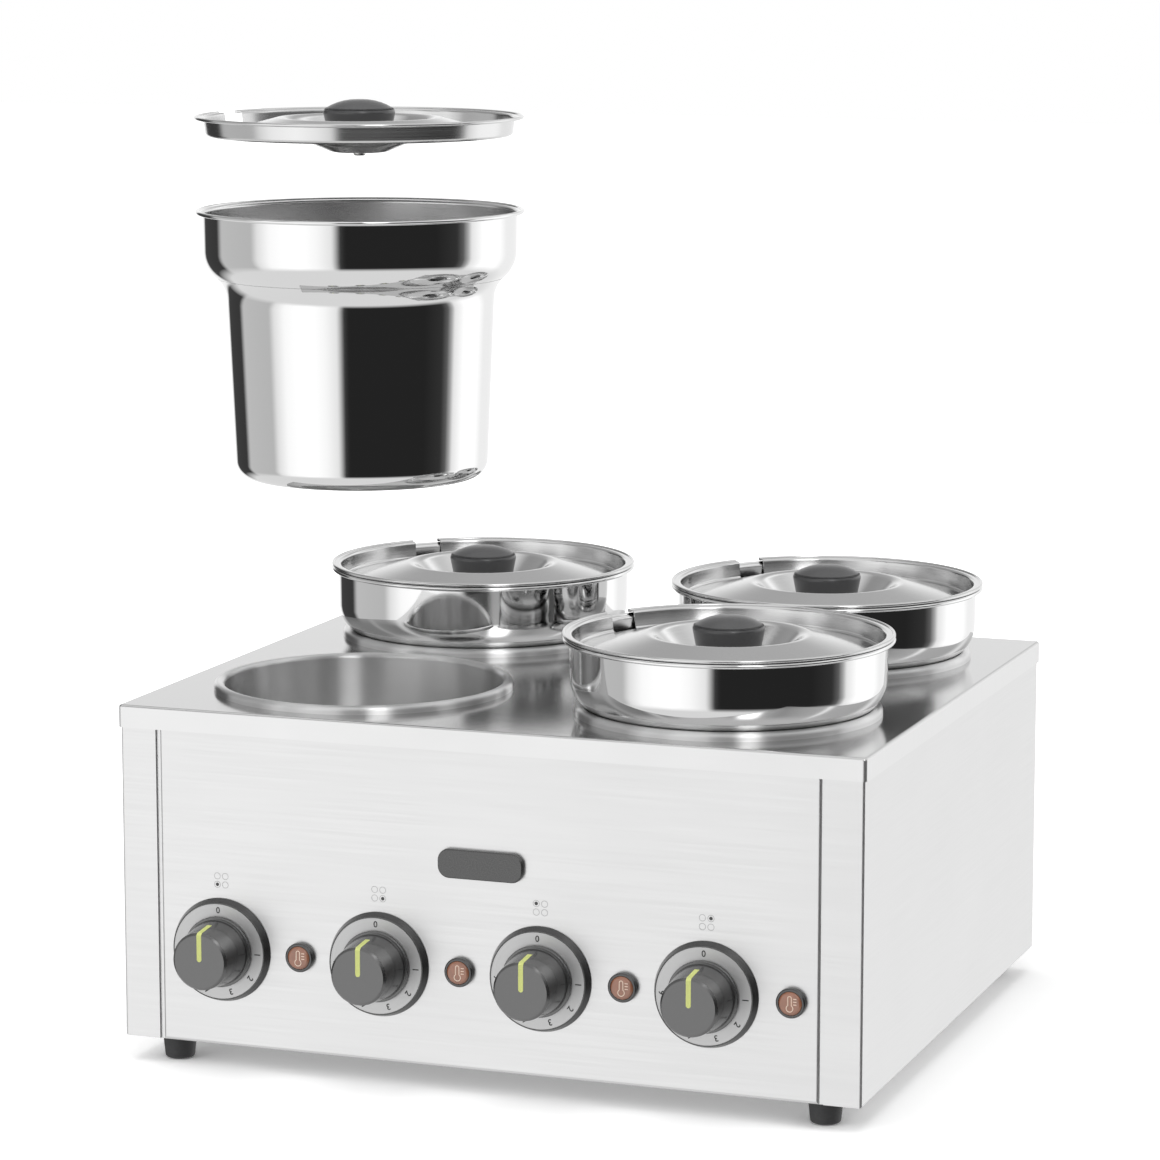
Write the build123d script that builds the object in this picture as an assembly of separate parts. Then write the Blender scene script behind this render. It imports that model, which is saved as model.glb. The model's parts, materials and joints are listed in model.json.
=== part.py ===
from build123d import *
import math
import os

# All sizes are in millimetres. The casing stands with its middle on the Z axis while it is
# modelled, its front faces -Y, and the floor is z = 0.

# Casing of bent stainless sheet
width = 558.0
depth = 480.0
casing_height = 245.5
panel_bottom = 18.5
sheet = 1.0
bend = 2.0
strip_width = 27.5
groove = 3.2
groove_depth = 1.6
panel_flange = 20.0
panel_edge = 1.3
strip_lap = 14.0
panel_gap = 0.3

# Deck, a shallow tray turned upside down over the panels
deck_sheet = 1.2
deck_overhang = 1.5
deck_skirt = 16.5
deck_corner = 3.0
deck_top = panel_bottom + casing_height

# Base plate, feet and their screws
base_sheet = 1.0
base_inset = 4.0
base_corner = 6.0
vent_length = 60.0
vent_width = 5.0
vent_pitch_x = 100.0
vent_pitch_y = 22.0
vent_columns = 3
vent_rows = 6
foot_top_radius = 12.5
foot_sole_radius = 10.75
foot_edge = 2.0
foot_recess_radius = 5.5
foot_recess_depth = 7.0
foot_in_x = 32.5
foot_in_y = 23.0
foot_screw_radius = 2.0
base_screw_radius = 1.75
base_screw_in_front = 12.0
base_screw_in_side = 14.0
base_screw_x = 150.0
base_screw_y = 120.0

# Places of the four wells on the deck
well_pitch_x = 282.0
well_pitch_y = 242.0
well_back_offset = 5.0

# Spun bowls: wells, pots and lids
bowl_sheet = 0.8
well_radius = 103.1
well_depth = 145.0
well_corner = 15.0
well_rim_height = 6.0
well_rim_radius = 110.3
well_rim_bend = 3.5
deck_hole_radius = 103.8

pot_height = 193.0
pot_bottom_radius = 91.4
pot_body_radius = 97.3
pot_body_top = -53.6
pot_collar_low_radius = 113.3
pot_collar_low = -39.2
pot_collar_radius = 113.7
pot_rim_radius = 119.0
pot_corner = 13.0
pot_waist_bend = 22.0
pot_shoulder_bend = 25.0
pot_rim_bend = 2.0
pot_rim_roll = 1.6

lid_dish_depth = 24.8
lid_dish_radius = 20.0
lid_bowl_radius = 37.0
lid_bowl_depth = 17.8
lid_crest_radius = 55.5
lid_crest_height = 0.4
lid_trough_radius = 110.6
lid_trough_depth = 13.6
lid_wall_radius = 112.4
lid_rim_radius = 118.9
lid_rim_roll = 1.3
lid_dish_bend = 12.0
lid_bowl_bend = 25.0
lid_crest_bend = 8.0
lid_trough_bend = 3.0
lid_rim_bend = 1.5
slot_width = 22.0
slot_inner_radius = 97.0

# Knob on each lid
lid_knob_radius = 26.3
lid_knob_shoulder = 5.5
lid_knob_top = 13.0
lid_knob_low_radius = 22.8
lid_knob_low = -12.5
lid_knob_foot_radius = 13.0
lid_knob_foot_height = 6.0
lid_knob_round = 4.0
lid_screw_radius = 2.4
lid_screw_head_radius = 4.3
lid_screw_head = 2.6
lid_screw_length = 17.0

# Clearance between pieces that lift apart, and how far the front-left pot and lid are lifted
seat_gap = 0.3
pot_lift = 296.0
lid_lift = 64.5

# Controls on the front panel
control_height = 89.2
first_dial_x = -201.0
dial_pitch = 122.5
lamp_from_dial = 61.9
bezel_base_radius = 38.3
bezel_front_radius = 35.8
bezel_thickness = 6.3
bezel_hole_radius = 7.0
scale_radius = 34.9
scale_thickness = 0.5
knob_clearance = 0.7
knob_flange_radius = 25.8
knob_flange = 2.4
knob_base_radius = 23.8
knob_face_radius = 20.8
knob_length = 32.3
knob_edge = 1.2
pointer_width = 3.6
pointer_depth = 0.5
pointer_side_share = 0.62
spindle_radius = 3.0
spindle_flat = 1.5
spindle_tail = 8.0
spindle_reach = 27.0
running_clearance = 0.1
lamp_ring_radius = 10.6
lamp_ring_height = 4.4
lamp_lens_radius = 8.4
lamp_lens_top = 5.6
lamp_neck_radius = 6.3
lamp_neck_length = 15.0
lamp_tab = 7.0
badge_length = 64.0
badge_height = 21.0
badge_thickness = 4.0
badge_round = 8.5
badge_z = 167.5

# Thermostats and heaters inside
thermostat_width = 44.0
thermostat_height = 34.0
thermostat_depth = 28.0
bushing_radius = 5.0
bushing_length = 5.0
capillary_radius = 0.75
capillary_turn = 5.0
capillary_highest = 96.0
capillary_step = 4.0
sensor_radius = 3.0
sensor_length = 50.0
sensor_from_middle = 15.0
sensor_drop = 82.0
heater_radius = 70.0
heater_tube = 4.0
heater_gap_angle = 50.0
heater_leg_turn = 9.0
heater_leg = 14.0
clamp_radius = 76.0
clamp_thickness = 1.5
clamp_notch_width = 84.0
clamp_notch_from = 48.0
stud_radius = 3.0
stud_length = 18.0

# Mains parts inside and at the rear
gland_x = 175.0
gland_z = 62.0
gland_thread_radius = 10.0
gland_thread_length = 12.0
gland_nut = 6.0
gland_nut_radius = 14.0
gland_dome = 16.0
gland_dome_radius = 11.0
gland_mouth_radius = 7.5
gland_bore_radius = 4.25
terminal_x = 220.0
terminal_y = 170.0
terminal_length = 54.0
terminal_width = 24.0
terminal_height = 20.0
terminal_poles = 5
loom_height = 30.0
loom_line_y = -222.0
loom_trunk_radius = 4.0
loom_trunk_turn = 12.0
wire_radius = 1.5
wire_turn = 8.0

# Where the ladle slot of each lid points, in degrees from +X towards +Y
slot_angles = {"front_left": 169.0, "front_right": 152.0, "rear_left": 135.0, "rear_right": 139.0}
places = {
    "front_left": (-well_pitch_x / 2, well_back_offset - well_pitch_y / 2),
    "front_right": (well_pitch_x / 2, well_back_offset - well_pitch_y / 2),
    "rear_left": (-well_pitch_x / 2, well_back_offset + well_pitch_y / 2),
    "rear_right": (well_pitch_x / 2, well_back_offset + well_pitch_y / 2),
}
dial_x = {place: first_dial_x + dial_pitch * i for i, place in enumerate(places)}
lifted = "front_left"

# The finished model is moved in Y so that the origin is below the middle of its outer box.
front_reach = bezel_thickness + knob_clearance + knob_length
rear_reach = gland_nut + gland_dome
centre_shift = (front_reach - rear_reach) / 2

on_floor = (Align.CENTER, Align.CENTER, Align.MIN)
under_top = (Align.CENTER, Align.CENTER, Align.MAX)
on_edge = (Align.CENTER, Align.MIN, Align.MIN)


def moved_left(points, distance):
    """The corners of a polyline moved sideways by a distance to the left of its direction."""
    normals = []
    for (u0, v0), (u1, v1) in zip(points, points[1:]):
        length = math.hypot(u1 - u0, v1 - v0)
        normals.append(((v0 - v1) / length, (u1 - u0) / length))
    moved = []
    for (u, v), a, b in zip(points, normals[:1] + normals, normals + normals[-1:]):
        share = distance / (1 + a[0] * b[0] + a[1] * b[1])
        moved.append((u + share * (a[0] + b[0]), v + share * (a[1] + b[1])))
    return moved


def turns_left(a, b, c):
    return (b[0] - a[0]) * (c[1] - b[1]) > (b[1] - a[1]) * (c[0] - b[0])


def sheet_section(points, bends, thickness):
    """Section of a bent sheet in the XZ plane: one face follows the points with the bend radii
    given, and the other lies at the sheet's thickness to the left."""
    other_bends = []
    for i, radius in enumerate(bends):
        inward = turns_left(*points[i : i + 3])
        other_bends.append(radius - thickness if inward else radius + thickness)
    other = moved_left(points, thickness)
    outline = FilletPolyline(*points, radius=bends)
    inline = FilletPolyline(*other, radius=other_bends)
    ends = [Line(points[0], other[0]), Line(points[-1], other[-1])]
    return Plane.XZ * make_face(Curve() + outline.edges() + inline.edges() + ends)


def disc_in_section(radius_at, height, radius):
    """A round roll in the XZ plane, centred at a radius and a height."""
    return Plane.XZ * Pos(radius_at, height) * Circle(radius)


def post(radius, low, high):
    """A round post on the Z axis between two heights."""
    return Pos(0, 0, low) * Cylinder(radius, high - low, align=on_floor)


def facing_front(x, z):
    """Turns local Z to the front and local Y up, at a point of the front panel's face."""
    return Pos(x, -depth / 2, z) * Rot(90, 0, 0)


def facing_rear(x, z):
    """Turns local Z to the rear, at a point of the rear panel's face."""
    return Pos(x, depth / 2, z) * Rot(-90, 0, 0)


def tube(points, radius, turn):
    """A round rod through straight runs joined by arcs of one radius."""
    path = FilletPolyline(*points, radius=turn)
    section = Plane(origin=path @ 0, z_dir=path % 0) * Circle(radius)
    return sweep(section, path=path)


def base_screw_places():
    """Middle points of the eight screws that hold the base plate, on the panels' flanges."""
    front = depth / 2 - base_screw_in_front
    side = width / 2 - base_screw_in_side
    along_front = [(x, y) for x in (-base_screw_x, base_screw_x) for y in (-front, front)]
    along_sides = [(x, y) for x in (-side, side) for y in (-base_screw_y, base_screw_y)]
    return along_front + along_sides


def drilled_for_base_screws(panel):
    for x, y in base_screw_places():
        panel -= Pos(x, y) * post(base_screw_radius + running_clearance, 0, panel_bottom + panel_flange)
    return panel


def foot_places():
    x = width / 2 - foot_in_x
    y = depth / 2 - foot_in_y
    return [(-x, -y), (x, -y), (-x, y), (x, y)]


def deck():
    tray = Pos(0, 0, deck_top) * Box(
        width + 2 * deck_overhang, depth + 2 * deck_overhang, deck_skirt, align=under_top
    )
    tray = fillet(tray.edges().filter_by(Axis.Z), deck_corner)
    tray = fillet(tray.faces().sort_by(Axis.Z)[-1].edges(), bend)
    mouth = tray.faces().sort_by(Axis.Z)[0]
    tray = offset(tray, -deck_sheet, openings=mouth)
    for x, y in places.values():
        tray -= Pos(x, y) * post(deck_hole_radius, deck_top - deck_skirt, deck_top + sheet)
    return tray


def panel_height():
    return deck_top - deck_sheet - panel_gap - panel_bottom


def front_pan():
    """A shallow pan that stands on edge: a face with a flange at the bottom and rounded edges at
    both ends, which leave room for the side panels' laps."""
    pan_width = width - 2 * (strip_width + groove)
    pan = Box(pan_width, panel_flange, panel_height(), align=on_edge)
    face = pan.faces().sort_by(Axis.Y)[0]
    pan = fillet(face.edges().sort_by(Axis.Z)[:-1], bend)
    openings = [pan.faces().sort_by(Axis.Y)[-1], pan.faces().sort_by(Axis.Z)[-1]]
    pan = offset(pan, -sheet, openings=openings)
    for end in (-1, 1):
        lap_room = Box(2 * strip_lap, panel_flange, panel_height(), align=on_edge)
        pan -= Pos(end * pan_width / 2, panel_edge, 0) * lap_room
    return Pos(0, -depth / 2, panel_bottom) * pan


def front_panel():
    panel = drilled_for_base_screws(front_pan())
    for x in dial_x.values():
        bushing_hole = Cylinder(bushing_radius + running_clearance, 4 * bend)
        lamp_hole = Cylinder(lamp_neck_radius + running_clearance, 4 * bend)
        panel -= facing_front(x, control_height) * bushing_hole
        panel -= facing_front(x + lamp_from_dial, control_height) * lamp_hole
    return panel


def rear_panel():
    panel = drilled_for_base_screws(Rot(0, 0, 180) * front_pan())
    gland_hole = Cylinder(gland_thread_radius + running_clearance, 4 * bend)
    return panel - facing_rear(gland_x, gland_z) * gland_hole


def side_panel(side):
    """A side of the casing, folded round the front and rear corners. Each end is stepped back to
    lap behind the next panel, which leaves a shallow groove between them. Side is -1 or 1."""
    pan = Box(strip_width, depth, panel_height(), align=(Align.MAX, Align.CENTER, Align.MIN))
    face = pan.faces().sort_by(Axis.X)[-1]
    pan = fillet(face.edges().sort_by(Axis.Z)[:-1], bend)
    openings = [pan.faces().sort_by(Axis.X)[0], pan.faces().sort_by(Axis.Z)[-1]]
    pan = offset(pan, -sheet, openings=openings)
    for end in (-1, 1):
        step_depth = groove_depth + sheet
        step = Box(sheet, step_depth, panel_height(), align=(Align.MIN, Align.CENTER, Align.MIN))
        pan += Pos(-strip_width, end * (depth - step_depth) / 2, 0) * step
        lap = Box(strip_lap, sheet, panel_height(), align=(Align.MAX, Align.CENTER, Align.MIN))
        pan += Pos(-strip_width, end * (depth / 2 - groove_depth - sheet / 2), 0) * lap
    panel = Pos(width / 2, 0, panel_bottom) * pan
    if side < 0:
        panel = Rot(0, 0, 180) * panel
    return drilled_for_base_screws(panel)


def base_plate():
    outline = RectangleRounded(width - 2 * base_inset, depth - 2 * base_inset, base_corner)
    slots = GridLocations(vent_pitch_x, vent_pitch_y, vent_columns, vent_rows)
    outline -= slots * SlotOverall(vent_length, vent_width)
    for x, y in base_screw_places():
        outline -= Pos(x, y) * Circle(base_screw_radius + running_clearance)
    for x, y in foot_places():
        outline -= Pos(x, y) * Circle(foot_screw_radius + running_clearance)
    return Pos(0, 0, panel_bottom - base_sheet) * extrude(outline, base_sheet)


def foot():
    top = panel_bottom - base_sheet
    cone = Cone(foot_sole_radius, foot_top_radius, top, align=on_floor)
    cone = fillet(cone.edges().sort_by(Axis.Z)[0], foot_edge)
    cone -= post(foot_recess_radius, 0, foot_recess_depth)
    return cone - post(foot_screw_radius + running_clearance, 0, top)


def foot_screw():
    """A pan-head screw in the foot's recess, with its nut on the base plate."""
    head_low = foot_recess_depth - 1.5 * foot_screw_radius
    nut_height = 1.6 * foot_screw_radius
    tip = panel_bottom + nut_height + foot_screw_radius
    screw = post(2 * foot_screw_radius, head_low, foot_recess_depth)
    screw += post(foot_screw_radius, foot_recess_depth, tip)
    nut = Pos(0, 0, panel_bottom) * extrude(RegularPolygon(2 * foot_screw_radius, 6), nut_height)
    nut -= post(foot_screw_radius, 0, tip)
    return [screw, nut]


def base_screw():
    """A pan-head sheet-metal screw driven from below."""
    low = panel_bottom - base_sheet
    screw = post(2 * base_screw_radius, low - 0.8 * base_screw_radius, low)
    return screw + post(base_screw_radius, low, low + 4 * base_screw_radius)


def well():
    """A deep cup whose rolled rim stands on the deck."""
    floor = deck_top - well_depth - bowl_sheet
    rim_top = deck_top + well_rim_height
    points = [
        (0, floor),
        (well_radius, floor),
        (well_radius, rim_top - bowl_sheet),
        (well_rim_radius - bowl_sheet, rim_top - bowl_sheet),
        (well_rim_radius - bowl_sheet, deck_top),
    ]
    bends = [well_corner, well_rim_bend - bowl_sheet, well_rim_bend - bowl_sheet]
    return revolve(sheet_section(points, bends, bowl_sheet), Axis.Z)


def pot():
    """A drawn pot, with the underside of its flange at z = 0. Its slanting shoulder rests on the
    well's rolled rim."""
    points = [
        (0, -pot_height),
        (pot_bottom_radius, -pot_height),
        (pot_body_radius, pot_body_top),
        (pot_collar_low_radius, pot_collar_low),
        (pot_collar_radius, 0),
        (pot_rim_radius - pot_rim_roll, 0),
    ]
    bends = [pot_corner, pot_waist_bend, pot_shoulder_bend, pot_rim_bend]
    section = sheet_section(points, bends, bowl_sheet)
    roll = disc_in_section(pot_rim_radius - pot_rim_roll, bowl_sheet / 2, pot_rim_roll)
    return revolve(section + roll, Axis.Z)


def pot_seat():
    """Height of a seated pot's flange: its shoulder clears the round of the well's rim by the
    seat gap, measured square to the shoulder."""
    run = pot_collar_low_radius - pot_body_radius
    rise = pot_collar_low - pot_body_top
    slope = math.hypot(run, rise)
    round_radius = well_rim_bend
    round_middle = well_radius - bowl_sheet + round_radius
    round_height = deck_top + well_rim_height - round_radius
    reach = (round_radius + seat_gap) * slope
    drop = (rise * (round_middle - pot_body_radius) - reach) / run
    return round_height - pot_body_top - drop


def lid(slot_angle):
    """A pressed lid, with the underside of its flange at z = 0."""
    points = [
        (lid_screw_radius + running_clearance, -lid_dish_depth),
        (lid_dish_radius, -lid_dish_depth),
        (lid_bowl_radius, -lid_bowl_depth),
        (lid_crest_radius, lid_crest_height),
        (lid_trough_radius, -lid_trough_depth),
        (lid_wall_radius, 0),
        (lid_rim_radius - lid_rim_roll, 0),
    ]
    bends = [lid_dish_bend, lid_bowl_bend, lid_crest_bend, lid_trough_bend, lid_rim_bend]
    section = sheet_section(points, bends, bowl_sheet)
    roll = disc_in_section(lid_rim_radius - lid_rim_roll, bowl_sheet / 2, lid_rim_roll)
    slot_length = lid_rim_radius - slot_inner_radius + bend
    slot = Pos(slot_inner_radius, 0, 0) * Box(
        slot_length, slot_width, 4 * lid_trough_depth, align=(Align.MIN, Align.CENTER, Align.CENTER)
    )
    return revolve(section + roll, Axis.Z) - Rot(0, 0, slot_angle) * slot


def lid_seat():
    """Height of a seated lid above its pot."""
    pot_rim_top = bowl_sheet / 2 + pot_rim_roll
    lid_rim_low = bowl_sheet / 2 - lid_rim_roll
    return pot_rim_top + seat_gap - lid_rim_low


def lid_knob():
    """A domed grip on a narrower foot, on the flat of the lid's dish."""
    low = bowl_sheet - lid_dish_depth
    sides = Polyline(
        (0, low),
        (lid_knob_foot_radius, low),
        (lid_knob_foot_radius, low + lid_knob_foot_height),
        (lid_knob_low_radius, lid_knob_low),
        (lid_knob_radius, lid_knob_shoulder),
    )
    rise = lid_knob_top - lid_knob_shoulder
    dome_radius = (lid_knob_radius**2 + rise**2) / (2 * rise)
    dome = RadiusArc((lid_knob_radius, lid_knob_shoulder), (0, lid_knob_top), -dome_radius)
    axis_line = Line((0, lid_knob_top), (0, low))
    outline = make_face(Curve() + sides.edges() + dome + axis_line)
    outline = fillet(outline.vertices().sort_by(Axis.X)[-3:], lid_knob_round)
    grip = revolve(Plane.XZ * outline, Axis.Z)
    return grip - post(lid_screw_radius + running_clearance, low, low + lid_screw_length)


def lid_screw():
    """The screw that holds the knob, with its head below the dish."""
    head_low = -lid_dish_depth - lid_screw_head
    head = post(lid_screw_head_radius, head_low, -lid_dish_depth)
    head = fillet(head.edges().sort_by(Axis.Z)[0], lid_screw_head / 2)
    tip = bowl_sheet - lid_dish_depth + lid_screw_length - lid_screw_radius
    return head + post(lid_screw_radius, -lid_dish_depth, tip)


def dial_bezel():
    """A ring on the panel with a shallow seat for the scale disc. Local Z points out."""
    ring = Cone(bezel_base_radius, bezel_front_radius, bezel_thickness, align=on_floor)
    ring -= post(scale_radius, bezel_thickness - scale_thickness, bezel_thickness)
    return ring - post(bezel_hole_radius, 0, bezel_thickness)


def scale_disc():
    seat = bezel_thickness - scale_thickness
    return post(scale_radius, seat, bezel_thickness) - post(bezel_hole_radius, seat, bezel_thickness)


def knob_back():
    return bezel_thickness + knob_clearance


def spindle_section(radius, flat):
    """A round spindle's section with a flat on its upper side."""
    return Circle(radius) - Pos(0, flat) * Rectangle(2 * radius, radius, align=(Align.CENTER, Align.MIN))


def control_knob():
    """A tapered knob with a flange at its back and a groove for the pointer line on top."""
    back = knob_back()
    face = back + knob_length
    taper_low = back + knob_flange
    taper = Pos(0, 0, taper_low) * Cone(
        knob_base_radius, knob_face_radius, face - taper_low, align=on_floor
    )
    taper = fillet(taper.edges().sort_by(Axis.Z)[-1], knob_edge)
    knob = taper + post(knob_flange_radius, back, taper_low)
    pointer_end = face - pointer_side_share * (face - taper_low)
    end_radius = knob_face_radius + pointer_side_share * (knob_base_radius - knob_face_radius)
    groove_outline = Polyline(
        (0, face - pointer_depth),
        (knob_face_radius - knob_edge, face - pointer_depth),
        (knob_face_radius - pointer_depth, face - knob_edge),
        (end_radius - pointer_depth, pointer_end),
        (2 * knob_base_radius, pointer_end),
        (2 * knob_base_radius, face + knob_edge),
        (0, face + knob_edge),
        close=True,
    )
    pointer_groove = extrude(Plane.YZ * make_face(groove_outline), pointer_width / 2, both=True)
    bore = extrude(spindle_section(spindle_radius, spindle_flat), spindle_reach)
    return knob - pointer_groove - bore


def spindle():
    """The thermostat's spindle, which turns with the knob. It ends short of the bore's end."""
    flat_low = knob_back()
    round_part = post(spindle_radius, -spindle_tail, flat_low)
    flat_part = extrude(spindle_section(spindle_radius, spindle_flat), spindle_reach - spindle_flat)
    return round_part + (flat_part - post(spindle_radius, 0, flat_low))


def lamp_housing():
    """A pilot lamp's black body: a ring in front of the panel and a neck behind it."""
    ring = post(lamp_ring_radius, 0, lamp_ring_height)
    ring = fillet(ring.edges().sort_by(Axis.Z)[-1], lamp_ring_height / 4)
    ring -= post(lamp_lens_radius, lamp_ring_height / 5, lamp_ring_height)
    neck = post(lamp_neck_radius, -lamp_neck_length, 0)
    tab = Pos(0, 0, -lamp_neck_length) * Box(
        lamp_neck_radius, sheet, lamp_tab, align=under_top
    )
    return ring + neck + tab


def lamp_lens():
    """A low domed lens set into the lamp's ring."""
    low = lamp_ring_height / 5
    lens = post(lamp_lens_radius, low, lamp_lens_top)
    return fillet(lens.edges().sort_by(Axis.Z)[-1], lamp_lens_top / 3)


def badge_plate():
    plate = extrude(RectangleRounded(badge_length, badge_height, badge_round), badge_thickness)
    plate = chamfer(plate.faces().sort_by(Axis.Z)[-1].edges(), badge_thickness / 4)
    return facing_front(0, badge_z) * plate


def thermostat_box():
    """The thermostat's case behind the panel, with the bushing that its spindle turns in."""
    case = Pos(0, 0, -sheet) * Box(
        thermostat_width, thermostat_height, thermostat_depth, align=under_top
    )
    case = fillet(case.edges().filter_by(Axis.Z), bend)
    case += post(bushing_radius, -sheet - bend, bushing_length)
    return case - post(spindle_radius + running_clearance, -spindle_tail - bend, bushing_length)


def under_well():
    """Height of a well's outer floor."""
    return deck_top - well_depth - bowl_sheet


def sensor(place, level):
    """The thermostat's bulb under the well, and the capillary that leads to it. Level is the
    height of the capillary's long runs, which differ so that none meets another."""
    x, y = places[place]
    bulb_z = under_well() - sensor_radius
    bulb_end = y - sensor_from_middle - sensor_length
    front_run = places["front_left"][1] - sensor_drop
    case_back = thermostat_depth + sheet - depth / 2
    points = [
        (x, bulb_end, bulb_z),
        (x, y - sensor_drop, bulb_z),
        (x, y - sensor_drop, level),
        (x, front_run, level),
        (dial_x[place], front_run, level),
        (dial_x[place], case_back, level),
    ]
    corners = list(dict.fromkeys(points))
    bulb = Pos(x, bulb_end, bulb_z) * Rot(-90, 0, 0) * post(sensor_radius, 0, sensor_length)
    return bulb + tube(corners, capillary_radius, capillary_turn)


def heater_end(side):
    """One end of the heating ring: where its bend begins, the bend's middle, and the leg's top
    and tip. Side is 1 for the right end and -1 for the left."""
    angle = math.radians(side * heater_gap_angle / 2 - 90)
    half = math.sqrt(0.5)
    to_gap = Vector(math.sin(angle), -math.cos(angle), 0) * (side * heater_leg_turn)
    down = Vector(0, 0, -heater_leg_turn)
    start = Vector(math.cos(angle), math.sin(angle), 0) * heater_radius
    start += Vector(0, 0, under_well() - heater_tube)
    middle = start + to_gap * half + down * (1 - half)
    top = start + to_gap + down
    tip = top + Vector(0, 0, -heater_leg)
    return start, middle, top, tip


def heater_element():
    """A ring under the well, open at the front, with both ends turned down as legs."""
    right_start, right_middle, right_top, right_tip = heater_end(1)
    left_start, left_middle, left_top, left_tip = heater_end(-1)
    ring_back = Vector(0, heater_radius, right_start.Z)
    path = Curve() + [
        Line(right_tip, right_top),
        ThreePointArc(right_top, right_middle, right_start),
        ThreePointArc(right_start, ring_back, left_start),
        ThreePointArc(left_start, left_middle, left_top),
        Line(left_top, left_tip),
    ]
    return sweep(Plane(origin=right_tip, z_dir=(0, 0, 1)) * Circle(heater_tube), path=path.wire())


def heater_clamp():
    """The plate that holds the ring against the well, with the stud and the nut that draw it up."""
    top = under_well() - 2 * heater_tube
    plate = post(clamp_radius, top - clamp_thickness, top)
    plate -= Pos(0, -clamp_notch_from, top) * Box(
        clamp_notch_width, clamp_radius, 4 * clamp_thickness, align=(Align.CENTER, Align.MAX, Align.CENTER)
    )
    plate -= post(stud_radius + running_clearance, 0, under_well())
    stud = post(stud_radius, under_well() - stud_length, under_well())
    nut = extrude(RegularPolygon(2 * stud_radius, 6), -1.6 * stud_radius)
    nut = Pos(0, 0, top - clamp_thickness) * nut - post(stud_radius, 0, under_well())
    return [plate, stud, nut]


def cable_gland():
    """The gland for the mains lead: a thread through the rear panel, a nut on each side of it and
    a domed cap outside. Local Z points out."""
    thread = post(gland_thread_radius, -gland_thread_length, 0)
    collar = extrude(RegularPolygon(gland_nut_radius, 6), gland_nut)
    cap = Pos(0, 0, gland_nut) * Cone(gland_dome_radius, gland_mouth_radius, gland_dome, align=on_floor)
    cap = fillet(cap.edges().sort_by(Axis.Z)[-1], bend)
    lock_nut = Pos(0, 0, -sheet) * extrude(RegularPolygon(gland_nut_radius, 6), -gland_nut)
    lock_nut -= post(gland_thread_radius, -gland_thread_length, 0)
    bore = post(gland_bore_radius, -gland_thread_length, gland_nut + gland_dome)
    return [thread + collar + cap - bore, lock_nut]


def terminal_block():
    """A row of screw terminals on the base plate."""
    block = Box(terminal_length, terminal_width, terminal_height, align=on_floor)
    block = fillet(block.edges().filter_by(Axis.Z), bend)
    pitch = terminal_length / terminal_poles
    for spot in GridLocations(pitch, terminal_width / 2, terminal_poles, 2):
        screw_hole = post(pitch / 4, terminal_height / 2, terminal_height)
        block -= spot * screw_hole
    return Pos(terminal_x, terminal_y, panel_bottom) * block


def wiring_loom():
    """A trunk from the terminal block round to the front, with a drop to every thermostat, lamp
    and heater leg."""
    trunk_end = dial_x["front_left"] - thermostat_width / 2
    front_right = terminal_x + terminal_length / 2 - 2 * loom_trunk_radius
    trunk = tube(
        [
            (front_right, terminal_y - terminal_width / 2, loom_height),
            (front_right, loom_line_y, loom_height),
            (trunk_end, loom_line_y, loom_height),
        ],
        loom_trunk_radius,
        loom_trunk_turn,
    )
    case_low = control_height - thermostat_height / 2
    tab_low = control_height - sheet / 2
    for x in dial_x.values():
        trunk += Pos(x, loom_line_y) * post(wire_radius, loom_height, case_low)
        trunk += Pos(x + lamp_from_dial, loom_line_y) * post(wire_radius, loom_height, tab_low)
    for x, y in places.values():
        for side in (-1, 1):
            tip = heater_end(side)[3]
            wire = [
                (x + tip.X, y + tip.Y, tip.Z),
                (x + tip.X, y + tip.Y, loom_height),
                (x + tip.X, loom_line_y, loom_height),
            ]
            trunk += tube(wire, wire_radius, wire_turn)
    return trunk


def write(name, shape):
    """Writes one piece, or a group of like pieces, as a named file."""
    solids = []
    for piece in shape if isinstance(shape, list) else [shape]:
        solids += [Pos(0, centre_shift, 0) * solid for solid in piece.solids()]
    whole = solids[0] if len(solids) == 1 else Compound(children=solids)
    whole.label = name
    export_step(whole, f"parts/{name}.step")


os.makedirs("parts", exist_ok=True)

write("deck", deck())
write("front_panel", front_panel())
write("rear_panel", rear_panel())
write("side_panel_left", side_panel(-1))
write("side_panel_right", side_panel(1))
write("base_plate", base_plate())
write("base_screws", [Pos(x, y) * base_screw() for x, y in base_screw_places()])
write("foot_screws", [Pos(x, y) * piece for x, y in foot_places() for piece in foot_screw()])
write("badge_plate", badge_plate())
write("terminal_block", terminal_block())
write("cable_gland", [facing_rear(gland_x, gland_z) * piece for piece in cable_gland()])
write("wiring_loom", wiring_loom())

dial_spots = [facing_front(x, control_height) for x in dial_x.values()]
lamp_spots = [facing_front(x + lamp_from_dial, control_height) for x in dial_x.values()]
write("scale_discs", [spot * scale_disc() for spot in dial_spots])
write("lamp_housings", [spot * lamp_housing() for spot in lamp_spots])
write("lamp_lenses", [spot * lamp_lens() for spot in lamp_spots])

bezel_piece = dial_bezel()
knob_piece = control_knob()
spindle_piece = spindle()
case_piece = thermostat_box()
well_piece = well()
pot_piece = pot()
knob_on_lid = lid_knob()
screw_on_lid = lid_screw()
heater_pieces = [heater_element(), *heater_clamp()]
foot_piece = foot()

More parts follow.
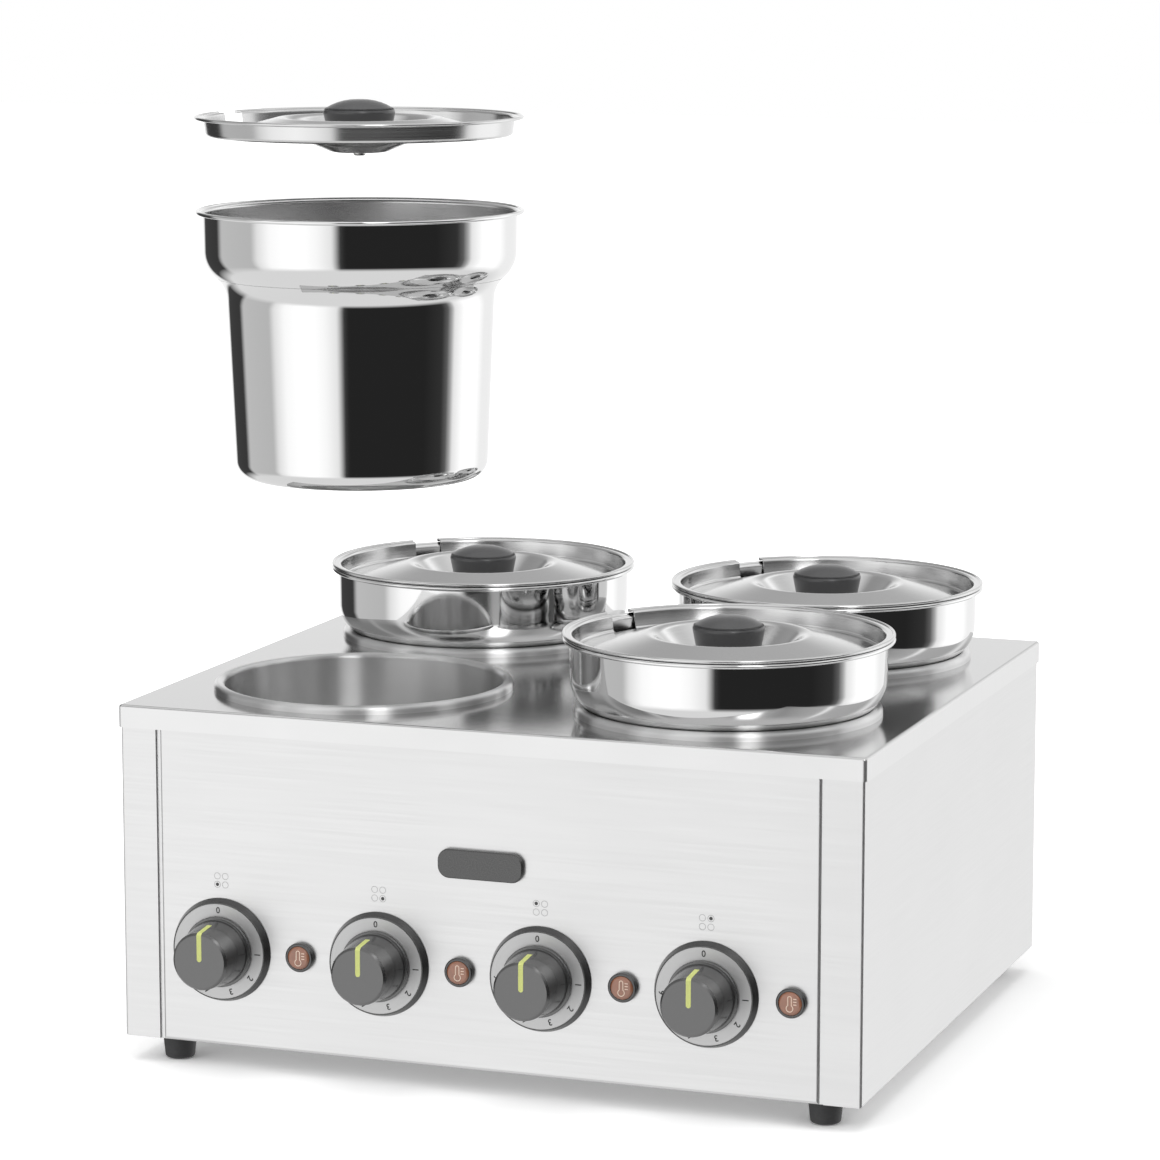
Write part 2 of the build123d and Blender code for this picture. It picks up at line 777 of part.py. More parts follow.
for i, (place, (x, y)) in enumerate(places.items()):
    foot_x, foot_y = foot_places()[i]
    write(f"foot_{place}", Pos(foot_x, foot_y) * foot_piece)
    dial_spot = facing_front(dial_x[place], control_height)
    write(f"dial_bezel_{place}", dial_spot * bezel_piece)
    write(f"control_knob_{place}", dial_spot * knob_piece)
    write(f"knob_spindle_{place}", dial_spot * spindle_piece)
    capillary_level = capillary_highest - capillary_step * i
    write(f"thermostat_{place}", [dial_spot * case_piece, sensor(place, capillary_level)])
    write(f"well_{place}", Pos(x, y) * well_piece)
    write(f"heater_{place}", [Pos(x, y) * piece for piece in heater_pieces])
    pot_z = pot_seat() + (pot_lift if place == lifted else 0)
    lid_z = pot_z + lid_seat() + (lid_lift if place == lifted else 0)
    write(f"pot_{place}", Pos(x, y, pot_z) * pot_piece)
    write(f"lid_{place}", Pos(x, y, lid_z) * lid(slot_angles[place]))
    write(f"lid_knob_{place}", Pos(x, y, lid_z) * knob_on_lid)
    write(f"lid_screw_{place}", Pos(x, y, lid_z) * screw_on_lid)

print("deck top", deck_top, "seated pot flange", round(pot_seat(), 3), "lid on pot", round(lid_seat(), 3))
print("casing middle is at y =", round(centre_shift, 3))
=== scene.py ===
import json
import math

import bmesh
import bpy
import numpy as np
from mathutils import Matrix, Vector


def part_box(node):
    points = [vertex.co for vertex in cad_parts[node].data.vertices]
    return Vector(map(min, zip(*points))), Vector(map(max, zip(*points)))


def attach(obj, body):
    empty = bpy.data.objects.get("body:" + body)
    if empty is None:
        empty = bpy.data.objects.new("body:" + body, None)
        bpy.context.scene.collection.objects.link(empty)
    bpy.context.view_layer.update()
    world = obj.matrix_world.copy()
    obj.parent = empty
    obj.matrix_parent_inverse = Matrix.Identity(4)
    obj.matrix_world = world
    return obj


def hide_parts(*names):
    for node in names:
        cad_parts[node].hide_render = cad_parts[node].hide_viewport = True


bl_info = {
    "name": "Bain marie with lift-out pots",
    "version": (1, 0, 0),
    "blender": (4, 5, 0),
    "location": "3D View > Sidebar > Bain marie",
    "description": "Dresses the frame of a counter-top bain marie and sets it in a plain studio",
    "category": "Object",
}

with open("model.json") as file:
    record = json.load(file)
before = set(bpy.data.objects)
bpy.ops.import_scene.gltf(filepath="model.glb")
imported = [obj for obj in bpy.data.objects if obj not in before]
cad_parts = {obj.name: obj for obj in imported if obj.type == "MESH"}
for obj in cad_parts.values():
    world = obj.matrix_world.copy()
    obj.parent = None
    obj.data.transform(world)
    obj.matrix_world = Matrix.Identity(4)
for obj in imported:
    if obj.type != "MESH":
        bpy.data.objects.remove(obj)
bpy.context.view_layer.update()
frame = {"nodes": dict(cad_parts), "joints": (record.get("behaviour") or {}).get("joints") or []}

PLACES = ("front_left", "front_right", "rear_left", "rear_right")
# Degrees from the right, seen from above, to the ladle slot of each place's lid.
SLOT_ANGLES = (169.0, 152.0, 135.0, 139.0)
# Largest turn from point to point along a bend.
ARC_STEP = math.radians(7)
# Faces round a turned piece, by its size.
ROUND_STEPS = 192
DIAL_STEPS = 128
SMALL_STEPS = 96
FOOT_STEPS = 64
SIGN_STEPS = 48
# Points along each half of a rolled rim.
ROLL_STEPS = 14
# Points across a lid where its turn is closed inside the ladle slot.
BRIDGE_COLUMNS = 9
# Share of a bend's radius from its arc to the support points on the straights beside it.
SUPPORT = 0.04
# How far printed ink stands off its surface, and how near points are merged, in metres.
INK = 4e-5
MERGE = 2e-6
# The studio that reflections see: degrees to the right of the front, and how bright it is there.
# White cloth hangs in front, behind and at the rear right, grey cloth to the left, and black flags
# to the right and at the rear left.
SCREENS = (
    *((-180, 1.04), (-140, 1.04), (-134, 0.06), (-106, 0.05), (-99, 0.66), (-64, 0.62)),
    *((-58, 1.00), (-47, 1.30), (-25, 1.45), (-9, 1.28), (2, 1.05), (5, 0.55), (8, 0.06)),
    *((12, 0.022), (80, 0.022), (98, 0.04), (104, 0.14), (109, 0.55), (112, 1.05)),
    *((124, 1.38), (146, 1.38), (158, 1.12), (180, 1.04)),
)
# Higher up, a lamp stands to the right of the camera, and the rest is grey with a few narrow lights.
UPPER_SCREENS = (
    *((-180, 0.60), (-110, 0.40), (-88, 0.40), (-82, 0.70), (-76, 0.45), (-56, 0.35)),
    *((-50, 1.30), (-44, 0.35), (-34, 0.40), (-26, 1.00), (12, 1.00), (24, 0.60)),
    *((29, 4.00), (40, 4.00), (46, 0.80), (62, 0.55), (76, 0.70), (98, 0.85)),
    *((103, 2.00), (109, 0.85), (150, 0.80), (162, 1.60), (172, 0.70), (180, 0.60)),
)


def grey(level):
    """A grey as red, green, blue and alpha."""
    return level, level, level, 1


def linear(code):
    """An sRGB hex colour as linear red, green and blue."""
    values = np.array([int(code[i : i + 2], 16) for i in (1, 3, 5)]) / 255
    return tuple(np.where(values <= 0.04045, values / 12.92, ((values + 0.055) / 1.055) ** 2.4))


def length(name, millimetres, description):
    """A size in metres whose default is given in millimetres."""
    return bpy.props.FloatProperty(
        name=name, description=description, default=millimetres / 1000, unit="LENGTH", precision=5
    )


def colour(name, code, description):
    """A colour whose default is an sRGB hex code."""
    return bpy.props.FloatVectorProperty(
        name=name, description=description, default=linear(code), subtype="COLOR", size=3, min=0, max=1
    )


class BowlSizes(bpy.types.PropertyGroup):
    """Sizes of the wells, pots and lids"""

    sheet: length("Sheet", 0.8, "Thickness of the wells', pots' and lids' sheet")
    well_radius: length("Well radius", 103.1, "Outside radius of a well's wall")
    well_corner: length("Well corner", 15.0, "Radius between a well's wall and floor")
    well_rim_height: length("Well rim height", 6.0, "Height of a well's rolled rim above the deck")
    well_rim_radius: length("Well rim radius", 110.3, "Outside radius of a well's rolled rim")
    well_rim_bend: length("Well rim bend", 3.5, "Outside radius of the bends of a well's rim")
    pot_height: length("Pot height", 193.0, "From the underside of a pot's flange to its floor")
    pot_bottom_radius: length("Pot floor radius", 91.4, "Outside radius of a pot at its floor")
    pot_body_radius: length("Pot body radius", 97.3, "Outside radius at the top of a pot's body")
    pot_body_top: length("Pot body top", 53.6, "Depth of the body's top below the flange")
    pot_collar_low_radius: length("Pot collar low radius", 113.3, "Outside radius at the collar's foot")
    pot_collar_low: length("Pot collar depth", 39.2, "Depth of the collar's foot below the flange")
    pot_collar_radius: length("Pot collar radius", 113.7, "Outside radius at the collar's top")
    pot_rim_radius: length("Pot rim radius", 119.0, "Outside radius of a pot's rolled rim")
    pot_rim_roll: length("Pot rim roll", 1.6, "Radius of the roll round a pot's rim")
    pot_corner: length("Pot corner", 13.0, "Radius between a pot's body and floor")
    pot_waist: length("Pot waist", 22.0, "Radius of the hollow bend below the shoulder")
    pot_shoulder: length("Pot shoulder", 25.0, "Radius of the round bend of the shoulder")
    pot_rim_bend: length("Pot rim bend", 2.0, "Radius between a pot's collar and its flange")
    lid_dish_depth: length("Lid dish depth", 24.8, "Depth of a lid's dish below its flange")
    lid_dish_radius: length("Lid dish radius", 20.0, "Radius of the flat of a lid's dish")
    lid_bowl_radius: length("Lid bowl radius", 37.0, "Radius at which the dish's side steepens")
    lid_bowl_depth: length("Lid bowl depth", 17.8, "Depth at which the dish's side steepens")
    lid_crest_radius: length("Lid crest radius", 55.5, "Radius of the crest round the dish")
    lid_crest_height: length("Lid crest height", 0.4, "Height of the crest before it is rounded")
    lid_trough_radius: length("Lid trough radius", 110.6, "Radius of the trough inside the rim")
    lid_trough_depth: length("Lid trough depth", 13.6, "Depth of the trough below the flange")
    lid_wall_radius: length("Lid wall radius", 112.4, "Outside radius of a lid's wall at the flange")
    lid_rim_radius: length("Lid rim radius", 118.9, "Outside radius of a lid's rolled rim")
    lid_rim_roll: length("Lid rim roll", 1.3, "Radius of the roll round a lid's rim")
    lid_hole: length("Lid hole", 2.5, "Radius of the hole for the knob's screw")
    lid_dish_bend: length("Lid dish bend", 12.0, "Radius of the bend round the flat of the dish")
    lid_bowl_bend: length("Lid bowl bend", 25.0, "Radius of the bend in the dish's side")
    lid_crest_bend: length("Lid crest bend", 8.0, "Radius of the crest's bend")
    lid_trough_bend: length("Lid trough bend", 3.0, "Radius of the trough's bend")
    lid_rim_bend: length("Lid rim bend", 1.5, "Radius between a lid's wall and its flange")
    slot_width: length("Ladle slot width", 22.0, "Width of the slot for a ladle's handle")
    slot_inner: length("Ladle slot end", 97.0, "Distance of the slot's inner end from the middle")


class FittingSizes(bpy.types.PropertyGroup):
    """Sizes of the knobs, dials, lamps, signs, plate and feet"""

    lid_knob_radius: length("Lid knob radius", 26.3, "Widest radius of a lid's knob")
    lid_knob_top: length("Lid knob top", 13.0, "Height of the knob's dome above the flange")
    lid_knob_rise: length("Lid knob rise", 7.5, "Height of the dome above its widest ring")
    lid_knob_bend: length("Lid knob bend", 4.0, "Radius of the bends of a lid's knob")
    lid_knob_flare: length("Lid knob flare", 22.8, "Radius at which the knob's underside turns up")
    lid_knob_flare_depth: length("Lid knob flare depth", 12.5, "Depth of that turn below the flange")
    lid_knob_foot: length("Lid knob foot", 13.0, "Radius of the knob's foot in the dish")
    lid_knob_foot_height: length("Lid knob foot height", 6.0, "Height of the knob's foot")
    bezel_base: length("Bezel base", 38.3, "Radius of a dial's bezel on the panel")
    bezel_front: length("Bezel front", 35.8, "Radius of a dial's bezel at its front")
    bezel_depth: length("Bezel depth", 6.3, "How far a bezel stands off the panel")
    scale_radius: length("Scale radius", 34.9, "Radius of a scale disc")
    scale_sheet: length("Scale sheet", 0.5, "Thickness of a scale disc")
    scale_hole: length("Scale hole", 7.0, "Radius of the hole in a scale disc")
    number_size: length("Number size", 6.4, "Height of a number on a scale disc")
    number_weight: length("Number weight", 0.1, "How much each edge of a number's strokes is widened")
    number_radius: length("Number radius", 30.2, "Distance of the numbers from the dial's middle")
    knob_flange_radius: length("Knob flange radius", 25.8, "Radius of a control knob's flange")
    knob_base: length("Knob base", 23.8, "Radius of a control knob behind")
    knob_face: length("Knob face", 20.8, "Radius of a control knob in front")
    knob_edge: length("Knob edge", 1.5, "Width of the slanted edge round a control knob's face")
    knob_flange: length("Knob flange", 2.4, "Thickness of a control knob's flange")
    knob_gap: length("Knob gap", 0.7, "Gap between a bezel and its knob")
    knob_length: length("Knob length", 32.3, "Length of a control knob")
    pointer_width: length("Pointer width", 3.6, "Width of the pointer line")
    pointer_paint: length("Pointer paint", 0.12, "How far the pointer line stands off its knob")
    pointer_reach: bpy.props.FloatProperty(
        name="Pointer reach",
        description="Share of the knob's side that the pointer line covers",
        default=0.62,
        subtype="FACTOR",
        min=0,
        max=1,
    )
    lamp_radius: length("Lamp radius", 10.6, "Radius of a pilot lamp's ring")
    lamp_height: length("Lamp height", 4.4, "How far a lamp's ring stands off the panel")
    lamp_neck: length("Lamp neck", 6.3, "Radius of a pilot lamp behind the panel")
    lamp_depth: length("Lamp depth", 15.0, "Length of a pilot lamp behind the panel")
    lens_radius: length("Lens radius", 8.4, "Radius of a pilot lamp's lens")
    lens_edge: length("Lens edge", 1.87, "Radius of a lens's front edge")
    lens_top: length("Lens top", 5.6, "How far a pilot lamp's lens stands off the panel")
    sign_pitch: length("Sign pitch", 6.2, "Distance between the rings of a pot-place sign")
    sign_height: length("Sign height", 51.0, "Height of a pot-place sign above its dial's middle")
    sign_ring: length("Sign ring", 2.5, "Outside radius of a ring of a pot-place sign")
    sign_line: length("Sign line", 0.4, "Width of a ring's line")
    sign_dot: length("Sign dot", 1.3, "Radius of the dot that marks the dial's own pot")
    badge_corner: length("Plate corner", 8.5, "Radius of the front plate's corners")
    badge_edge: length("Plate edge", 1.1, "Radius of the front plate's edge")
    foot_height: length("Foot height", 17.5, "Height of a rubber foot")
    foot_top: length("Foot top", 12.5, "Radius of a foot under the base plate")
    foot_sole: length("Foot sole", 10.75, "Radius of a foot's sole")
    foot_recess: length("Foot recess", 5.5, "Radius of the recess for the foot's screw")
    foot_recess_depth: length("Foot recess depth", 7.0, "Depth of the recess for the foot's screw")
    foot_hole: length("Foot hole", 2.1, "Radius of the hole for the foot's screw")


class Finishes(bpy.types.PropertyGroup):
    """Base colours of the finishes"""

    casing: colour("Casing steel", "#D9D9D9", "Satin stainless sheet")
    # The skirt is the same satin steel as the walls, but its grey is set a little lighter: painted light
    # that stands in for the tone step along its edge.
    skirt: colour("Skirt steel", "#DDDDDD", "Turned-down edge of the deck")
    deck: colour("Deck steel", "#CACACA", "Polished stainless sheet")
    bowl: colour("Pot steel", "#E0E0E0", "Mirror-polished stainless steel")
    lid: colour("Lid steel", "#D2D2D2", "Buffed stainless steel")
    well: colour("Well steel", "#DCDCDC", "Spun stainless steel")
    knob: colour("Knob", "#292929", "Control knobs")
    lid_knob: colour("Lid knob", "#3C3C3D", "Lid knobs")
    black: colour("Black plastic", "#232323", "Bezels and lamp rings")
    scale: colour("Scale disc", "#C8C8C8", "Turned aluminium")
    pointer: colour("Pointer", "#D9E08A", "Pointer lines")
    lens: colour("Lens", "#A86E52", "Pilot lamps")
    rubber: colour("Rubber", "#2C2C2D", "Feet")


class Studio(bpy.types.PropertyGroup):
    """Camera and light"""

    camera_place: bpy.props.FloatVectorProperty(
        name="Camera place",
        description="Where the camera stands",
        default=(1.06385, -2.9479, 0.84741),
        subtype="TRANSLATION",
        unit="LENGTH",
        precision=4,
    )
    azimuth: bpy.props.FloatProperty(
        name="Azimuth",
        description="Angle of the view to the right of the front",
        default=math.radians(20.03),
        subtype="ANGLE",
    )
    elevation: bpy.props.FloatProperty(
        name="Elevation",
        description="Angle of the view above the horizon",
        default=math.radians(9.29),
        subtype="ANGLE",
    )
    lens: bpy.props.FloatProperty(
        name="Lens", description="Focal length for a 36 mm frame, in millimetres", default=132.10
    )
    fill: bpy.props.FloatProperty(
        name="Fill light", description="Strength of the light from all round", default=0.55, min=0
    )
    ceiling: bpy.props.FloatProperty(
        name="Ceiling", description="How bright the studio's ceiling is in reflections", default=1.0, min=0
    )
    ground: bpy.props.FloatProperty(
        name="Ground", description="How bright the studio's floor is in reflections", default=0.9, min=0
    )


def rounded(corners, bends):
    """Points along straight runs, in which the arc of a bend radius that touches both runs stands
    for each inner corner, and the unit normal to the left of the line at each point. A point on
    the straight just before and after each arc keeps the straights flat when they are shaded."""
    corners = np.asarray(corners, float)
    runs = np.diff(corners, axis=0)
    runs /= np.linalg.norm(runs, axis=1, keepdims=True)
    lefts = np.stack((-runs[:, 1], runs[:, 0]), axis=1)
    points = [corners[:1]]
    normals = [lefts[:1]]
    for corner, bend, before, after, left in zip(corners[1:-1], bends, runs, runs[1:], lefts):
        turn = math.atan2(before[0] * after[1] - before[1] * after[0], before @ after)
        steps = max(2, math.ceil(abs(turn) / ARC_STEP))
        angles = np.linspace(0, turn, steps + 1)[:, None]
        normal = np.cos(angles) * left - np.sin(angles) * before
        radius = math.copysign(bend, turn)
        start = corner - before * bend * abs(math.tan(turn / 2))
        arc = start + radius * left - radius * normal
        points += [arc[:1] - SUPPORT * bend * before, arc, arc[-1:] + SUPPORT * bend * after]
        normals += [normal[:1], normal, normal[-1:]]
    return np.concatenate(points + [corners[-1:]]), np.concatenate(normals + [lefts[-1:]])


def sheet_lines(corners, bends, thickness, roll=0.0):
    """Both faces of a bent sheet as lines of (radius, height) with a point for a point. The first
    follows the corners, the second lies at the thickness to its left. With a roll, the sheet's
    level end runs into a round of that radius, and each line ends at its outermost point."""
    lower, normals = rounded(corners, bends)
    if roll:
        centre = lower[-1] + thickness / 2 * normals[-1]
        half = math.asin(thickness / 2 / roll)
        lower[-1, 0] -= roll * math.cos(half)
    upper = lower + thickness * normals
    if roll:
        below = np.linspace(math.pi + half, 2 * math.pi, ROLL_STEPS)[1:]
        lower = np.vstack((lower, centre + roll * np.stack((np.cos(below), np.sin(below)), axis=1)))
        above = np.linspace(math.pi - half, 0, ROLL_STEPS)[1:]
        upper = np.vstack((upper, centre + roll * np.stack((np.cos(above), np.sin(above)), axis=1)))
    return lower, upper


def line_length(line):
    """The distance along a line from its start to each of its points."""
    steps = np.linalg.norm(np.diff(line, axis=0), axis=1)
    return np.concatenate(([0], np.cumsum(steps)))


def swept(line, angles):
    """Grid of a line of (r, z) carried round the Z axis: at angle a it goes to (r cos a, r sin a, z).
    The surface map is the arc length at the widest radius and the length along the line."""
    r, z = line.T[:, :, None]
    points = np.stack(np.broadcast_arrays(r * np.cos(angles), r * np.sin(angles), z), axis=-1)
    along = line_length(line)[:, None]
    return points, np.stack(np.broadcast_arrays(angles * r.max(), along), axis=-1)


def turned(section, steps=ROUND_STEPS):
    """Grid of a section turned all round the Z axis, from the Y axis on."""
    return swept(section, np.linspace(0, 2 * np.pi, steps + 1) + np.pi / 2)


def flat_strip(first, second):
    """Grid between two lines of points in space, which have a point for a point."""
    points = np.stack((first, second))
    across = np.linalg.norm(second - first, axis=1)
    along = line_length(first)
    place = np.stack((np.stack((along, along)), np.stack((0 * across, across))), axis=-1)
    return points, place


def facing_front(grid):
    """Turns a grid's Z axis to the front and its Y axis up."""
    points, place = grid
    return points[..., [0, 2, 1]] * (1, -1, 1), place


def set_at(grid, x, y, z):
    """Moves a grid from the origin to a place."""
    points, place = grid
    return points + (x, y, z), place


def turned_front(section, steps, spot):
    """Grid of a section turned about the axis that goes from a spot to the front."""
    return set_at(facing_front(turned(section, steps)), *spot)


def mesh_of(name, grids, sharp=32):
    """One mesh from grids of points and of their places on the surface. Each cell of a grid is a
    face, points that meet are merged, and edges that turn by more than an angle stay sharp."""
    vertices, faces, places = [], [], []
    count = 0
    for points, place in grids:
        rows, columns = points.shape[:2]
        index = np.arange(rows * columns).reshape(rows, columns) + count
        cells = (slice(None, -1), slice(None, -1)), (slice(None, -1), slice(1, None))
        cells += (slice(1, None), slice(1, None)), (slice(1, None), slice(None, -1))
        faces.append(np.stack([index[cell] for cell in cells], axis=-1).reshape(-1, 4))
        places.append(np.stack([place[cell] for cell in cells], axis=-2).reshape(-1, 2))
        vertices.append(points.reshape(-1, 3))
        count += rows * columns
    mesh = bpy.data.meshes.new(name)
    mesh.from_pydata(np.concatenate(vertices).tolist(), [], np.concatenate(faces).tolist())
    surface = mesh.uv_layers.new(name="surface")
    surface.uv.foreach_set("vector", np.concatenate(places).astype(np.float32).ravel())
    work = bmesh.new()
    work.from_mesh(mesh)
    bmesh.ops.remove_doubles(work, verts=work.verts, dist=MERGE)
    bmesh.ops.recalc_face_normals(work, faces=work.faces)
    work.to_mesh(mesh)
    work.free()
    mesh.shade_smooth()
    mesh.set_sharp_from_angle(angle=math.radians(sharp))
    return mesh


def add_object(name, data):
    """Adds an object of a mesh, a lamp or a camera to the scene."""
    made = bpy.data.objects.new(name, data)
    bpy.context.scene.collection.objects.link(made)
    return made


def piece(name, shape, material, body, slot, *nodes):
    """Adds a mesh in place, or grids that are made one, which rides on a body and stands for the
    nodes named."""
    mesh = shape if isinstance(shape, bpy.types.Mesh) else mesh_of(name, shape)
    made = add_object(name, mesh)
    mesh.materials.append(material)
    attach(made, body)
    if nodes:
        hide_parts(*nodes)


def dress(node, material):
    """Gives a node of the frame a material."""
    for slot in frame["nodes"][node].material_slots:
        slot.material = material


def middle(node):
    """Middle of a node's box in X and Y."""
    low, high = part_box(node)
    return (low.x + high.x) / 2, (low.y + high.y) / 2


def dial_spot(place):
    """Point of the panel's face on the axis of a place's dial, from its joint."""
    name = f"control_knob_{place}_turn"
    return next(joint["pos_m"] for joint in frame["joints"] if joint["name"] == name)


def add_node(material, kind, inputs=(), **settings):
    """Adds a node to a material's or a world's tree, with its own settings, and gives each input
    that is named or numbered a value or a link."""
    tree = material.node_tree
    node = tree.nodes.new(kind)
    for name, value in settings.items():
        setattr(node, name, value)
    for name, value in dict(inputs).items():
        if isinstance(value, bpy.types.NodeSocket):
            tree.links.new(value, node.inputs[name])
        else:
            node.inputs[name].default_value = value
    return node


def new_material(name):
    """A material whose node tree is empty."""
    material = bpy.data.materials.new(name)
    material.use_nodes = True
    material.node_tree.nodes.clear()
    return material


def finish_material(material, inputs):
    """Ends a material with a shader that has the inputs given."""
    shader = add_node(material, "ShaderNodeBsdfPrincipled", inputs)
    add_node(material, "ShaderNodeOutputMaterial", {"Surface": shader.outputs[0]})
    return material


def grain_pattern(material, coordinates, grain, detail=2.0):
    """Noise whose grains have the sizes given, in metres, along the three coordinates."""
    scale = tuple(1 / size for size in grain)
    mapping = add_node(material, "ShaderNodeMapping", {"Vector": coordinates, "Scale": scale})
    inputs = {"Vector": mapping.outputs[0], "Scale": 1.0, "Detail": detail}
    return add_node(material, "ShaderNodeTexNoise", inputs).outputs["Fac"]


def uneven(material, base, roughness, darker, spread, flow, texture):
    """Shader inputs for a colour that goes from a darker share of a base colour to the base with the
    flow pattern, and for a roughness that goes to both sides of a value with the texture pattern."""
    dark = (*(channel * darker for channel in base), 1)
    tint = add_node(material, "ShaderNodeMix", {0: flow, 6: dark, 7: (*base, 1)}, data_type="RGBA")
    # Most of a noise lies between these two values.
    least, most = 0.3, 0.7
    span = {0: texture, 1: least, 2: most, 3: roughness - spread, 4: roughness + spread}
    rough = add_node(material, "ShaderNodeMapRange", span)
    return {"Base Color": tint.outputs[2], "Roughness": rough.outputs[0]}


def turned_metal(material, drawn):
    """Shader inputs for metal turned on a lathe, whose rings draw a reflection out across them."""
    tangent = add_node(material, "ShaderNodeTangent", direction_type="UV_MAP", uv_map="surface")
    inputs = {"Metallic": 1.0, "Anisotropic": drawn, "Anisotropic Rotation": 0.25}
    return {**inputs, "Tangent": tangent.outputs[0]}


def satin_sheet(name, base, grain, roughness, polished=None, above=0.0):
    # Stainless sheet, ground with a fine belt: soft reflections, broken up by the grinding lines,
    # and a slightly uneven grey. The lines are 0.1 mm apart on the real sheet, and are drawn twelve
    # times as coarse so that they show. Zinc and heated steel have a round grain instead of lines.
    # Above a height a sheet may be polished.
    material = new_material(name)
    place = add_node(material, "ShaderNodeTexCoord").outputs["Object"]
    lines = grain_pattern(material, place, grain, detail=3.0)
    clouds = grain_pattern(material, place, (0.12, 0.12, 0.12))
    inputs = uneven(material, base, roughness, darker=0.95, spread=0.03, flow=clouds, texture=lines)
    if polished:
        height = add_node(material, "ShaderNodeSeparateXYZ", {0: place}).outputs[2]
        bend_start, bend_end, polished_share = above - 0.002, above - 0.0005, 0.4
        bend = {0: height, 1: bend_start, 2: bend_end}
        share = add_node(material, "ShaderNodeMapRange", bend).outputs[0]
        buffed = {0: share, 6: inputs["Base Color"], 7: (*polished, 1)}
        inputs["Base Color"] = add_node(material, "ShaderNodeMix", buffed, data_type="RGBA").outputs[2]
        fall = {0: share, 3: 1.0, 4: polished_share}
        smoother = add_node(material, "ShaderNodeMapRange", fall).outputs[0]
        rough = {0: inputs["Roughness"], 1: smoother}
        inputs["Roughness"] = add_node(material, "ShaderNodeMath", rough, operation="MULTIPLY").outputs[0]
    scratches = add_node(material, "ShaderNodeBump", {"Height": lines, "Distance": 6e-7}).outputs[0]
    return finish_material(material, {**inputs, "Metallic": 1.0, "Normal": scratches})


def spun_steel(name, base, roughness, spread, wave, drawn=0.0, inside=None):
    # Stainless steel spun on a lathe: rings round the axis draw a reflection out along the wall, and
    # slight waves bend it. The rings are 0.1 mm apart on the real piece and drawn ten times as coarse.
    # A piece may be polished up to a length along its section, where its rougher inside begins.
    material = new_material(name)
    place = add_node(material, "ShaderNodeUVMap", uv_map="surface").outputs[0]
    rings = grain_pattern(material, place, (0.6, 0.001, 1.0), detail=3.0)
    waves = grain_pattern(material, place, (0.07, 0.05, 1.0), detail=1.0)
    inputs = uneven(material, base, roughness, darker=0.97, spread=spread, flow=rings, texture=rings)
    if inside:
        along = add_node(material, "ShaderNodeSeparateXYZ", {0: place}).outputs[1]
        half_edge, added = 0.001, 0.2
        edge = {0: along, 1: inside - half_edge, 2: inside + half_edge, 3: 0.0, 4: added}
        rougher = add_node(material, "ShaderNodeMapRange", edge).outputs[0]
        rough = {0: inputs["Roughness"], 1: rougher}
        inputs["Roughness"] = add_node(material, "ShaderNodeMath", rough).outputs[0]
    wavy = add_node(material, "ShaderNodeBump", {"Height": waves, "Distance": wave}).outputs[0]
    return finish_material(material, {**inputs, **turned_metal(material, drawn), "Normal": wavy})


def turned_aluminium(base):
    # Aluminium disc faced on a lathe: fine circles round the middle spread the light outwards, and
    # the disc looks silvery and soft. Its circles are 0.1 mm apart and drawn six times as coarse.
    material = new_material("Turned aluminium")
    place = add_node(material, "ShaderNodeUVMap", uv_map="surface").outputs[0]
    circles = grain_pattern(material, place, (0.3, 0.0006, 1.0))
    inputs = uneven(material, base, roughness=0.47, darker=0.9, spread=0.05, flow=circles, texture=circles)
    return finish_material(material, {**inputs, **turned_metal(material, drawn=0.3)})


def moulded(name, base, roughness, grain=0.0012, relief=6e-6, coat=0.0, gloss=0.5, spread=0.05):
    # Moulded plastic or rubber: a fine even texture from the mould breaks up the gloss, and the
    # colour is a little uneven where the melt flowed.
    material = new_material(name)
    place = add_node(material, "ShaderNodeTexCoord").outputs["Object"]
    texture = grain_pattern(material, place, (grain, grain, grain))
    flow = grain_pattern(material, place, (0.015, 0.015, 0.03))
    inputs = uneven(material, base, roughness, darker=0.86, spread=spread, flow=flow, texture=texture)
    inputs |= {
        "Normal": add_node(material, "ShaderNodeBump", {"Height": texture, "Distance": relief}).outputs[0],
        "IOR": 1.6,
        "Specular IOR Level": gloss,
        "Coat Weight": coat,
        "Coat Roughness": 0.08,
    }
    return finish_material(material, inputs)


def printed(name, base):
    # Screen-printed ink: a thin matt film with a slightly uneven cover.
    material = new_material(name)
    place = add_node(material, "ShaderNodeTexCoord").outputs["Object"]
    cover = grain_pattern(material, place, (0.0008, 0.0008, 0.0008))
    inputs = uneven(material, base, roughness=0.575, darker=0.85, spread=0.075, flow=cover, texture=cover)
    return finish_material(material, inputs)


def lens_plastic(base):
    # Moulded polycarbonate, tinted amber: glossy, with a colour that is deeper in places.
    material = new_material("Amber polycarbonate")
    place = add_node(material, "ShaderNodeTexCoord").outputs["Object"]
    depth = grain_pattern(material, place, (0.004, 0.004, 0.006))
    inputs = uneven(material, base, roughness=0.17, darker=0.5, spread=0.05, flow=depth, texture=depth)
    return finish_material(material, {**inputs, "Coat Weight": 1.0, "Coat Roughness": 0.05})


